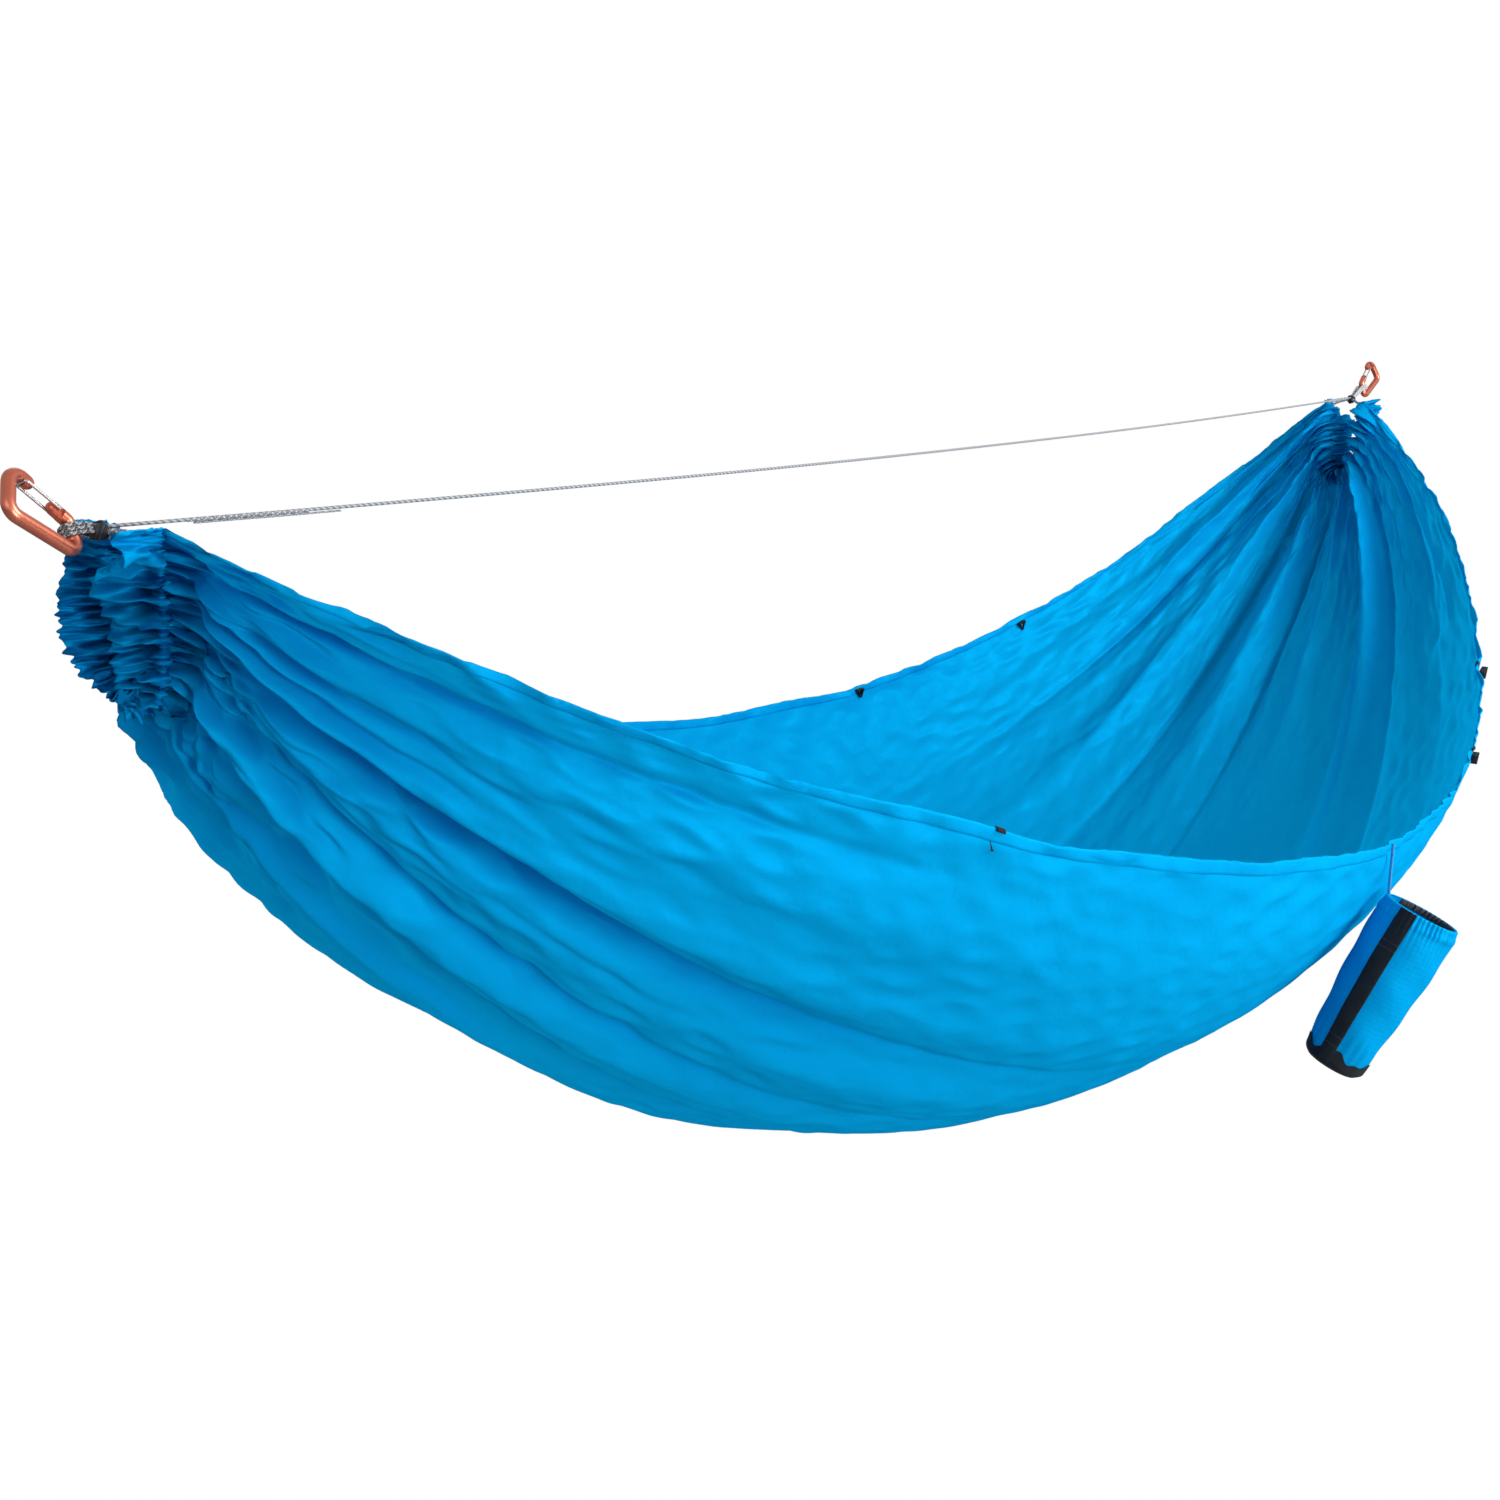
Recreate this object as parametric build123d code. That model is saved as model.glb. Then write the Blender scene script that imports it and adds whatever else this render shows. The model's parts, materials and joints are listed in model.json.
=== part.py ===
from build123d import *
from math import asin, cos, degrees, pi, radians, sin, tan
import os

# Camping hammock: gathered-end nylon bed, suspension cords, wiregate carabiners, ridgeline, stuff sack.
# The frame, in mm: +X from the left hook to the right hook, +Z up, +Y away from the near rim.
# The origin is where the left strap bears in the wide end of the left carabiner.

# ---------------------------------------------------------------- driving dimensions
GATHER_SPAN = 2700.0          # sling knot to sling knot
LEFT_KNOT = Vector(64, 0, -31)
RIGHT_KNOT = LEFT_KNOT + Vector(GATHER_SPAN, 0, 0)
LEFT_INSET = 30.0             # gather plane inward of the left knot
RIGHT_INSET = 25.0
RIM_TOP = LEFT_KNOT.Z         # height of both rims at the gathers

# bed: a sheet about 3.25 m long and 1.48 m wide, hung by its gathered ends
END_HALF_WIDTH = 30.0
END_DEPTH = 140.0
SPREAD = 533.0                # growth of the half width towards the middle
SPREAD_POWER = 0.432
SPREAD_LEAN = -0.136
RIM_SAG = 456.0
RIM_POWER = 0.637
RIM_LEAN = 0.577
KEEL_SAG = 724.0
KEEL_POWER = 0.782
KEEL_LEAN = -0.144
END_EASE = 0.01
SIDE_POWER = 1.04
BELLY_POWER = 1.243
FAR_WIDTH_RATIO = 0.916
FAR_RISE_RATIO = 0.992
SHEET_THICK = 1.5
HEM_WIDTH = 14.0
HEM_THICK = 3.0
BED_STATIONS = (0.0, 0.004, 0.012, 0.026, 0.05, 0.085, 0.13, 0.19, 0.27, 0.36, 0.45,
                0.54, 0.63, 0.72, 0.8, 0.87, 0.92, 0.955, 0.978, 0.99, 0.997, 1.0)
ACROSS_POINTS = 15

# gathered end sleeves and their cords
SLEEVE_BODY = 14.0            # thickness of the bunched cloth round the cord
SLEEVE_LENGTH = 50.0
SLEEVE_PAST_CORD = 7.0        # how far the sleeve reaches past its cord, towards the bed
CORD_D = 5.0
CORD_SLACK = 0.3              # clearance of the cord in its channel

# carabiners, in their own plane: x along the load, y from spine to gate
BAR_D = 11.0
HOOK_POINT = Vector(63.4, -4, 0)
HINGE_POINT = Vector(25, 14.4, 0)
SLING_SEAT = Vector(9, 7.2, 0)
SLING_AXIS = Vector(0.597, 0.802, 0)
BAR_ROUTE = ((29, 14.6), (14, 14), (-2, -7.5), (66, -19.5), (73.5, 19.5), (56, 18.6))
BAR_RADII = (6, 7, 9, 11)
LEFT_PITCH, LEFT_ROLL = 42.0, 33.0
RIGHT_PITCH, RIGHT_ROLL = 39.0, 18.0
RIGHT_HOOK = Vector(2882, -1, 20)
WIRE_D = 2.4
WIRE_GAP = 9.6                # centre to centre of the gate's two legs
WIRE_TIP_GAP = 0.8            # between the wire's two ends, inside the hinge hole
NOSE_THICK = 6.4              # the bar is flattened to this at its nose and at the gate's hinge
CHEEK_CUTS = (Vector(54, 18, 0), Vector(33, 14, 0))
CHEEK_SIZE = (22, 16, 8)
WIRE_HOLE_CLEAR = 0.05
NOTCH = Vector(60.5, 14.5, 0)
NOTCH_CLEAR = 0.35
NOTCH_DEPTH = 6.0
HOLE_LENGTH = 20.0

SLING_D = 4.5
SLING_CLEAR = 0.5
KNOT_R = 6.5
KNOT_LENGTH = 13.0
KNOT_FROM_SEAT = 14.0
KNOT_EDGE = 2.0

# ridgeline
LINE_D = 3.0
LINE_IN_KNOT = 3.0            # how far the line runs into the knot
LINE_ABOVE_KNOT = 3.5         # the line above the knot's middle
LINE_SAG = 15.0
LINE_SHARES = (0.0, 0.15, 0.36, 0.62, 0.85, 1.0)
BURY_D = 5.4
BURY_SPAN = (0.028, 0.072)    # shares of the ridgeline's length
TAIL_D = 2.6
TAIL_SPAN = (0.03, 0.085)
TAIL_GAP = 0.5
RIGHT_EYE_SPAN = (0.955, 0.99)

# tie-out loops: station along the rim, and the face of the hem, -1 towards the near side, +1 the far side
NEAR_LOOPS = ((0.195, 1), (0.31, 1), (0.70, -1), (0.815, -1))
FAR_LOOPS = ((0.195, -1), (0.34, -1), (0.65, -1), (0.805, -1))
LOOP_WIDTH = 20.0
LOOP_HEIGHT = 17.0
LOOP_THICK = 1.7
LOOP_DEPTH = 9.0
LOOP_DROP = 5.0               # its sewn edge, below the rim's top
LOOP_IN_HEM = 0.8             # how deep it is let into the hem's face

# stuff sack
TETHER_D = 4.0
TETHER_LENGTH = 64.0
TETHER_GAP = 0.2              # between the tether and the hem, and between it and the mouth
TETHER_DROP = 4.0             # its sewn end, below the rim's top
SACK_LENGTH = 220.0
SACK_MOUTH_R = 48.0
SACK_BELLY_R = 50.0
SACK_FOOT_R = 38.0
SACK_WALL = 1.2
SACK_TILT = 26.0              # axis from the vertical
SACK_HEADING = Vector(0.608, -0.794, 0)   # horizontal direction that the mouth leans to
MOUTH_HEM = 18.0
MOUTH_BELOW_TETHER = 3.0
WALL_STEPS = 8
STRAP_WIDTH = 22.0
STRAP_THICK = 1.4
STRAP_TURN = 133.0            # round the sack, from the side away from the tether
FOOT_HEIGHT = 16.0


def rise(u, power):
    """Growth from 0 at either end to 1 in the middle, with a finite slope at the ends."""
    base = 4 * u * (1 - u)
    low = END_EASE ** power
    return ((base + END_EASE) ** power - low) / ((1 + END_EASE) ** power - low)


def bed_x(u):
    start = LEFT_KNOT.X + LEFT_INSET + SLEEVE_PAST_CORD
    end = RIGHT_KNOT.X - RIGHT_INSET - SLEEVE_PAST_CORD
    return start + (end - start) * u


def bed_point(u, angle):
    """A point of the sheet: angle runs from -90 at the near rim to +90 at the far rim."""
    lean = u - 0.5
    width = END_HALF_WIDTH + SPREAD * rise(u, SPREAD_POWER) * (1 + SPREAD_LEAN * lean)
    rim = RIM_SAG * rise(u, RIM_POWER) * (1 + RIM_LEAN * lean)
    keel = END_DEPTH + KEEL_SAG * rise(u, KEEL_POWER) * (1 + KEEL_LEAN * lean)
    far = angle > 0
    across = sin(radians(abs(angle))) ** SIDE_POWER * width * (FAR_WIDTH_RATIO if far else -1)
    hang = max(cos(radians(angle)), 0.0) ** BELLY_POWER
    drop = rim * (FAR_RISE_RATIO if far else 1) * (1 - hang) + keel * hang
    return Vector(bed_x(u), across, RIM_TOP - drop)


def rim_angle(u, side, inward):
    """The angle at which the sheet is the given distance in from a rim, side -1 near, +1 far."""
    step = 0.5
    angle, walked = 90.0, 0.0
    last = bed_point(u, side * angle)
    while walked < inward and angle > step:
        angle -= step
        point = bed_point(u, side * angle)
        walked += (point - last).length
        last = point
    return side * angle


def section(u, first, last, thick, count):
    """A thin closed wire across the bed at one station, between two angles."""
    angles = [first + (last - first) * i / (count - 1) for i in range(count)]
    mids = [bed_point(u, a) for a in angles]
    outer, inner = [], []
    for i, mid in enumerate(mids):
        along = (mids[min(i + 1, count - 1)] - mids[max(i - 1, 0)]).normalized()
        out = Vector(0, along.Z, -along.Y)
        outer.append(mid + out * thick / 2)
        inner.append(mid - out * thick / 2)
    edges = [
        Edge.make_spline(outer),
        Edge.make_line(outer[-1], inner[-1]),
        Edge.make_spline(inner[::-1]),
        Edge.make_line(inner[0], outer[0]),
    ]
    return Wire(edges)


def bed_fabric():
    wires = []
    for u in BED_STATIONS:
        near = rim_angle(u, -1, HEM_WIDTH)
        far = rim_angle(u, 1, HEM_WIDTH)
        wires.append(section(u, near, far, SHEET_THICK, ACROSS_POINTS))
    return Solid.make_loft(wires)


def rim_hem(side):
    """The doubled hem along one rim, outside the sheet's own edge."""
    wires = []
    for u in BED_STATIONS:
        inner = rim_angle(u, side, HEM_WIDTH)
        wires.append(section(u, side * 90, inner, HEM_THICK, 4))
    return Solid.make_loft(wires)


def route_radii(points, share=0.45):
    """The largest tangent arcs that each pair of runs allows."""
    radii = []
    for before, here, after in zip(points, points[1:], points[2:]):
        one, two = here - before, after - here
        turn = radians(one.get_angle(two))
        radii.append(share * min(one.length, two.length) / tan(turn / 2))
    return radii


def cord_path(points, share=0.45):
    return FilletPolyline(*points, radius=route_radii(points, share))


def cord_tube(points, diameter, name=None, share=0.45):
    """A round tube along straight runs joined by tangent arcs."""
    path = cord_path(points, share)
    wire = path.wires()[0]
    plane = Plane(origin=wire @ 0, z_dir=wire % 0)
    tube = sweep(plane * Circle(diameter / 2), path=wire)
    if name:
        ideal = pi * diameter ** 2 / 4 * wire.length
        radii = " ".join(f"{r:.0f}" for r in route_radii(points, share))
        print(f"{name}: length {wire.length:.0f}, radii {radii}, volume ratio {tube.volume / ideal:.4f}")
    return tube


def u_route(gather_x):
    """The cord's way round the gathered end, from the near rim's top to the far rim's top."""
    half = [(34, -68), (27, -118), (11, -142)]
    near = [Vector(gather_x, -y, RIM_TOP + z) for y, z in half]
    far = [Vector(gather_x, y, RIM_TOP + z) for y, z in reversed(half)]
    return near + far


def gather_cord_route(gather_x, knot, inward):
    """A loop: out of the knot, down one side, round the bottom and up to the knot again."""
    down = u_route(gather_x)
    turn_in = [Vector(knot.X + inward * 4, -3.2, knot.Z), Vector(gather_x - inward * 8, -22, RIM_TOP + 1),
               Vector(gather_x, -31, RIM_TOP - 17)]
    turn_out = [Vector(p.X, -p.Y, p.Z) for p in reversed(turn_in)]
    return turn_in + down + turn_out


def sleeve(gather_x, inward, cord):
    """The bunched end hem: a thick band round the cord, flaring outwards past it."""
    spine = [Vector(gather_x, -30, RIM_TOP)] + u_route(gather_x) + [Vector(gather_x, 30, RIM_TOP)]
    wire = cord_path(spine).wires()[0]
    middle = gather_x - inward * (SLEEVE_LENGTH / 2 - SLEEVE_PAST_CORD)
    wire = wire.moved(Location((middle - gather_x, 0, 0)))
    start = Plane(origin=wire @ 0, x_dir=(1, 0, 0), z_dir=wire % 0)
    band = sweep(start * Rectangle(SLEEVE_LENGTH, SLEEVE_BODY), path=wire)
    channel = cord_tube(cord, CORD_D + 2 * CORD_SLACK)
    return band - channel


def carabiner_plane(side, pitch, roll, hook):
    """The carabiner's own plane: x along the load, y from spine to gate; side -1 left, +1 right."""
    load = Vector(side * cos(radians(pitch)), 0, sin(radians(pitch)))
    upright = Vector(-side * sin(radians(pitch)), 0, cos(radians(pitch)))
    to_gate = upright * cos(radians(roll)) + Vector(0, 1, 0) * sin(radians(roll))
    normal = load.cross(to_gate)
    origin = hook - load * HOOK_POINT.X - to_gate * HOOK_POINT.Y
    return Plane(origin=origin, x_dir=load, z_dir=normal)


def carabiner_body():
    """A bent bar with a flattened, notched nose and a cross hole for the gate's wire."""
    path = FilletPolyline(*[Vector(x, y, 0) for x, y in BAR_ROUTE], radius=list(BAR_RADII))
    wire = path.wires()[0]
    bar = sweep(Plane(origin=wire @ 0, z_dir=wire % 0) * Circle(BAR_D / 2), path=wire)
    tail = Pos(*BAR_ROUTE[0], 0) * Sphere(BAR_D / 2)
    nose = Pos(*BAR_ROUTE[-1], 0) * Sphere(BAR_D / 2)
    body = bar + tail + nose
    cheek_height = (NOSE_THICK + CHEEK_SIZE[2]) / 2
    for cut in CHEEK_CUTS:
        for face in (-1, 1):
            body -= Pos(cut.X, cut.Y, face * cheek_height) * Box(*CHEEK_SIZE)
    body -= Pos(NOTCH) * Cylinder(WIRE_D / 2 + NOTCH_CLEAR, HOLE_LENGTH)
    body -= Pos(NOTCH.X, NOTCH.Y - NOTCH_DEPTH / 2, 0) * Box(WIRE_D + 2 * NOTCH_CLEAR, NOTCH_DEPTH, HOLE_LENGTH)
    body -= Pos(HINGE_POINT) * Cylinder(WIRE_D / 2 + WIRE_HOLE_CLEAR, HOLE_LENGTH)
    return body


def gate_wire():
    """The bent wire: two legs from the hinge hole to a cross end that seats in the nose's notch."""
    half = Vector(0, 0, WIRE_GAP / 2)
    tip = Vector(0, 0, WIRE_TIP_GAP / 2)
    route = [HINGE_POINT + tip, HINGE_POINT + half, NOTCH + half,
             NOTCH - half, HINGE_POINT - half, HINGE_POINT - tip]
    path = FilletPolyline(*route, radius=[1.5, 2.6, 2.6, 1.5])
    wire = path.wires()[0]
    return sweep(Plane(origin=wire @ 0, z_dir=wire % 0) * Circle(WIRE_D / 2), path=wire)


def sling_frame(plane, knot):
    """The seat of the sling on the bar, the bar's direction there, and the way to the knot."""
    seat = plane.from_local_coords(SLING_SEAT)
    axis = (plane.x_dir * SLING_AXIS.X + plane.y_dir * SLING_AXIS.Y).normalized()
    away = knot - seat
    away = (away - axis * away.dot(axis)).normalized()
    return seat, axis, away


def sling_route(plane, knot):
    seat, axis, away = sling_frame(plane, knot)
    side = axis.cross(away)
    reach = BAR_D / 2 + SLING_CLEAR + SLING_D / 2
    far_corner = seat - away * reach
    straight = seat + away * 3.0
    end_gap = side * (SLING_D / 2 + 0.4)
    return [knot + end_gap, straight + side * reach, far_corner + side * reach,
            far_corner - side * reach, straight - side * reach, knot - end_gap]


def sling(plane, knot, name):
    return cord_tube(sling_route(plane, knot), SLING_D, name, share=0.46)


def knot_solid(start, end, cords):
    """A tight wrapping of cord round everything that meets at the knot."""
    axis = end - start
    body = Plane(origin=start, z_dir=axis) * Cylinder(
        KNOT_R, axis.length, align=(Align.CENTER, Align.CENTER, Align.MIN))
    body = fillet(body.edges().filter_by(GeomType.CIRCLE), KNOT_EDGE)
    for cord in cords:
        body -= cord
    return body


def line_point(share, start, end):
    sag = 4 * LINE_SAG * share * (1 - share)
    flat = start + (end - start) * share
    return Vector(flat.X, flat.Y, flat.Z - sag)


def tie_loop(u, side, face):
    """A webbing triangle that hangs from the hem of a rim, side -1 near, +1 far, on one face of the hem."""
    top = bed_point(u, side * 90)
    ahead, behind = bed_point(u + 0.01, side * 90), bed_point(u - 0.01, side * 90)
    slope = (ahead.Z - behind.Z) / (ahead.X - behind.X)
    half = LOOP_WIDTH / 2
    outline = Polyline((-half, -half * slope), (half, half * slope), (0, -LOOP_HEIGHT), close=True)
    frame = make_face(outline)
    frame -= offset(frame, amount=-LOOP_THICK)
    face_gap = HEM_THICK / 2 - LOOP_IN_HEM
    centre_y = top.Y + face * (face_gap + LOOP_DEPTH / 2)
    place = Plane(origin=(top.X, centre_y, top.Z - LOOP_DROP), x_dir=(1, 0, 0), z_dir=(0, -1, 0))
    return extrude(place * frame, amount=LOOP_DEPTH / 2, both=True)


def sack_plane(mouth):
    down = Vector(0, 0, -1) * cos(radians(SACK_TILT)) - SACK_HEADING * sin(radians(SACK_TILT))
    across = SACK_HEADING * cos(radians(SACK_TILT)) - Vector(0, 0, 1) * sin(radians(SACK_TILT))
    return Plane(origin=mouth, x_dir=across, z_dir=down)


def sack_radius(depth):
    """Outer radius of the sack at a depth below its mouth."""
    share = depth / SACK_LENGTH
    if share < 0.25:
        return SACK_MOUTH_R + (SACK_BELLY_R - SACK_MOUTH_R) * sin(share / 0.25 * pi / 2)
    fall = (share - 0.25) / 0.75
    return SACK_BELLY_R - (SACK_BELLY_R - SACK_FOOT_R) * fall ** 1.6


def ring_of(depths, inner_gap, outer_gap, angle=360.0, turn=0.0):
    """A turned skin between two depths, at given distances outside the sack's outer radius."""
    outer = [(sack_radius(d) + outer_gap, d) for d in depths]
    inner = [(sack_radius(d) + inner_gap, d) for d in depths]
    edge = Polyline(*[Vector(r, 0, d) for r, d in outer + inner[::-1]], close=True)
    skin = revolve(make_face(edge), axis=Axis.Z, revolution_arc=angle)
    return Rot(0, 0, turn) * skin


def sack_foot():
    """The black round base: a shallow cup with a rounded rim."""
    top = SACK_LENGTH - FOOT_HEIGHT
    outer_r = sack_radius(top)
    outline = Polyline(
        (0, SACK_LENGTH), (SACK_FOOT_R - 8, SACK_LENGTH), (SACK_FOOT_R - 1.5, SACK_LENGTH - 5),
        (outer_r, top), (outer_r - SACK_WALL, top), (SACK_FOOT_R - 3.5, SACK_LENGTH - 6),
        (SACK_FOOT_R - 9, SACK_LENGTH - 2), (0, SACK_LENGTH - 2), close=True)
    face = Plane.XZ * make_face(outline)
    return revolve(face, axis=Axis.Z)


nodes = {}

# bed
nodes["bed_fabric"] = bed_fabric()
nodes["near_hem"] = rim_hem(-1)
nodes["far_hem"] = rim_hem(1)
for count, (u, face) in enumerate(NEAR_LOOPS, 1):
    nodes[f"near_tie_loop_{count}"] = tie_loop(u, -1, face)
for count, (u, face) in enumerate(FAR_LOOPS, 1):
    nodes[f"far_tie_loop_{count}"] = tie_loop(u, 1, face)

# suspension at both ends
ends = (
    ("left", -1, LEFT_PITCH, LEFT_ROLL, Vector(0, 0, 0), LEFT_KNOT, LEFT_INSET),
    ("right", 1, RIGHT_PITCH, RIGHT_ROLL, RIGHT_HOOK, RIGHT_KNOT, RIGHT_INSET),
)
line_ends = {}
knot_parts = {}
for name, side, pitch, roll, hook, knot, inset in ends:
    inward = -side
    gather_x = knot.X + inward * inset
    plane = carabiner_plane(side, pitch, roll, hook)
    seat, axis, away = sling_frame(plane, knot)
    to_knot = knot - seat
    near_knot = seat + to_knot.normalized() * max(KNOT_FROM_SEAT, to_knot.length - KNOT_LENGTH)
    far_knot = Vector(near_knot.X + inward * KNOT_LENGTH, 0, near_knot.Z)
    knot_middle = (near_knot + far_knot) / 2

    nodes[f"{name}_carabiner_body"] = plane * carabiner_body()
    nodes[f"{name}_gate"] = plane * gate_wire()
    sling_tube = sling(plane, knot_middle - Vector(inward, 0, 0) * 1.0, f"{name}_sling")
    nodes[f"{name}_sling"] = sling_tube
    route = gather_cord_route(gather_x, Vector(knot_middle.X, 0, far_knot.Z), inward)
    cord = cord_tube(route, CORD_D, f"{name}_gather_cord")
    nodes[f"{name}_gather_cord"] = cord
    line_ends[name] = far_knot + Vector(-inward * LINE_IN_KNOT, 0, LINE_ABOVE_KNOT)
    knot_parts[name] = (near_knot, far_knot, [sling_tube, cord])
    nodes[f"{name}_sleeve"] = sleeve(gather_x, inward, route)
    print(f"{name}: origin {plane.origin} load {plane.x_dir} gate side {plane.y_dir} normal {plane.z_dir}")
    print(f"{name}: sling seat {seat} axis {axis} gate hinge {plane.from_local_coords(HINGE_POINT)}")
    print(f"{name}: knot {near_knot} {far_knot}, gather x {gather_x}")

# ridgeline, taut between the two knots
start, end = line_ends["left"], line_ends["right"]
line_route = [line_point(share, start, end) for share in LINE_SHARES]
ridgeline = cord_tube(line_route, LINE_D, "ridgeline")
nodes["ridgeline"] = ridgeline
for name, (near_knot, far_knot, cords) in knot_parts.items():
    nodes[f"{name}_knot"] = knot_solid(near_knot, far_knot, cords + [ridgeline])


def line_sleeve(first, last, outer, drop=0.0, hollow=True):
    """A short tube round the ridgeline, or beside it, between two places along it."""
    one, two = line_point(first, start, end), line_point(last, start, end)
    one, two = one - Vector(0, 0, drop), two - Vector(0, 0, drop)
    along = two - one
    tube = Plane(origin=one, z_dir=along) * Cylinder(
        outer / 2, along.length, align=(Align.CENTER, Align.CENTER, Align.MIN))
    tube = fillet(tube.edges().filter_by(GeomType.CIRCLE), outer / 6)
    return tube - ridgeline if hollow else tube


tail_drop = (BURY_D + TAIL_D) / 2 + TAIL_GAP
nodes["ridgeline_bury"] = line_sleeve(*BURY_SPAN, BURY_D)
nodes["ridgeline_tail"] = line_sleeve(*TAIL_SPAN, TAIL_D, drop=tail_drop, hollow=False)
nodes["ridgeline_right_eye"] = line_sleeve(*RIGHT_EYE_SPAN, BURY_D)

# stuff sack on its tether
tip = bed_point(0.5, -90)
tether_out = (HEM_THICK + TETHER_D) / 2 + TETHER_GAP
tether_top = tip - Vector(0, tether_out, TETHER_DROP)
tether_foot = tether_top - Vector(0, 0, TETHER_LENGTH)
tether_route = [tether_top, tether_top + Vector(1.5, 0.5, -22), tether_foot + Vector(-1.0, 0, 21), tether_foot]
nodes["sack_tether"] = cord_tube(tether_route, TETHER_D, "sack_tether")
across = sack_plane(tip).x_dir
mouth = tether_foot + across * (SACK_MOUTH_R + TETHER_GAP) - Vector(0, 0, MOUTH_BELOW_TETHER)
sack = sack_plane(mouth)
strap_half = degrees(asin(STRAP_WIDTH / 2 / SACK_BELLY_R))
hem_depths = (0, 6, 12, MOUTH_HEM)
wall_step = (SACK_LENGTH - FOOT_HEIGHT - MOUTH_HEM) / WALL_STEPS
wall_depths = [MOUTH_HEM + wall_step * i for i in range(WALL_STEPS + 1)]
strap_depths = list(hem_depths[1:]) + wall_depths[1:-1] + [SACK_LENGTH - FOOT_HEIGHT]
nodes["sack_mouth_hem"] = sack * ring_of(hem_depths, -2.4, 0.0)
nodes["sack_mouth_elastic"] = sack * ring_of((3, 9), -3.9, -2.4)
nodes["sack_shell"] = sack * ring_of(wall_depths, -SACK_WALL, 0.0)
nodes["sack_base"] = sack * sack_foot()
nodes["sack_strap"] = sack * ring_of(strap_depths, 0.0, STRAP_THICK, 2 * strap_half, STRAP_TURN - strap_half)
print(f"sack: mouth {sack.origin} across {sack.x_dir} down {sack.z_dir} side {sack.y_dir}")
print(f"tether: top {tether_top} foot {tether_foot}; rim middle {tip}")

os.makedirs("parts", exist_ok=True)
for name, shape in nodes.items():
    export_step(shape, f"parts/{name}.step")
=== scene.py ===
import json
import math
from math import pi

import bpy
import numpy as np
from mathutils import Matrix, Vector


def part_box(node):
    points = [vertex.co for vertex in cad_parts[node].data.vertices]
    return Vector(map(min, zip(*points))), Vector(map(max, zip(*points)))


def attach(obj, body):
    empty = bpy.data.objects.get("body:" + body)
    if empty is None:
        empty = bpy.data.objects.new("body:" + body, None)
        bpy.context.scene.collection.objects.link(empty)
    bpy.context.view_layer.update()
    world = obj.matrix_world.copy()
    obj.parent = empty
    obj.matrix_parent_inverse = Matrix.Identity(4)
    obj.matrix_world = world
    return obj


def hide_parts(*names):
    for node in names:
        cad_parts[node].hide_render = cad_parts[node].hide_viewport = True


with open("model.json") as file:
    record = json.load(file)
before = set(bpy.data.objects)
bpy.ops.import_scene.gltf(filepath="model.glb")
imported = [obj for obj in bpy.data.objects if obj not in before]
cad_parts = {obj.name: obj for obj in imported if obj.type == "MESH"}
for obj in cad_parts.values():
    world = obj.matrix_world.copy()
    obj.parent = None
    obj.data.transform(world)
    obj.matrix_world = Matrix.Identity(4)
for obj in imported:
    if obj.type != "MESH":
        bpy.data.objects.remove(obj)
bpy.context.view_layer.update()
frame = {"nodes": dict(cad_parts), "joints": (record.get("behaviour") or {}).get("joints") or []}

# the bed's surface, as the CAD has it
BED_START, BED_END = 0.101, 2.732
LEFT_PINCH, RIGHT_PINCH = 0.094, 2.739
RIM_TOP = -0.031
END_HALF_WIDTH, END_DEPTH = 0.030, 0.140
SPREAD, SPREAD_POWER, SPREAD_LEAN = 0.533, 0.432, -0.136
RIM_SAG, RIM_POWER, RIM_LEAN = 0.456, 0.637, 0.577
KEEL_SAG, KEEL_POWER, KEEL_LEAN = 0.724, 0.782, -0.144
END_EASE, SIDE_POWER, BELLY_POWER = 0.01, 1.04, 1.243
FAR_WIDTH_RATIO, FAR_RISE_RATIO = 0.916, 0.992

# the cut cloth
CLOTH_WIDTH = 1.48
FLAP = 0.046                  # cloth outside the gathered line, up to its fold
CHANNEL = 0.034               # from the gather cord to the stitched edge of the end hem
HEM_WIDTH = 0.014
LEFT, RIGHT = 0, 1            # the two ends


# ---- small mesh and shader helpers
def placed(name, data):
    made = bpy.data.objects.new(name, data)
    bpy.context.scene.collection.objects.link(made)
    return made


def mesh_object(name, verts, faces, body, material=None, uvs=None, smooth=True):
    mesh = bpy.data.meshes.new(name)
    mesh.from_pydata([tuple(v) for v in verts], [], faces)
    if uvs is not None:
        layer = mesh.uv_layers.new(name="UVMap")
        index = np.empty(len(mesh.loops), np.int32)
        mesh.loops.foreach_get("vertex_index", index)
        layer.data.foreach_set("uv", np.asarray(uvs, np.float32)[index].ravel())
    mesh.update()
    mesh.polygons.foreach_set("use_smooth", [smooth] * len(mesh.polygons))
    piece = placed(name, mesh)
    for one in (material if isinstance(material, (list, tuple)) else [material]):
        if one:
            mesh.materials.append(one)
    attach(piece, body)
    return piece


def grid_faces(rows, columns, wrap=False, offset=0):
    faces = []
    last = columns if wrap else columns - 1
    for i in range(rows - 1):
        for j in range(last):
            k = (j + 1) % columns
            faces.append((offset + i * columns + j, offset + i * columns + k,
                          offset + (i + 1) * columns + k, offset + (i + 1) * columns + j))
    return faces


def unit(v):
    v = np.asarray(v, float)
    return v / np.maximum(np.linalg.norm(v, axis=-1, keepdims=True), 1e-12)


def nurbs_curve(name, points):
    """A smooth NURBS line that has the given points as its control points."""
    curve = bpy.data.curves.new(name, "CURVE")
    curve.dimensions = "3D"
    curve.resolution_u = 24
    spline = curve.splines.new("NURBS")
    spline.points.add(len(points) - 1)
    for at, point in zip(spline.points, points):
        at.co = (*point, 1.0)
    spline.order_u = 3
    spline.use_endpoint_u = True
    return placed(name, curve)


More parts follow.
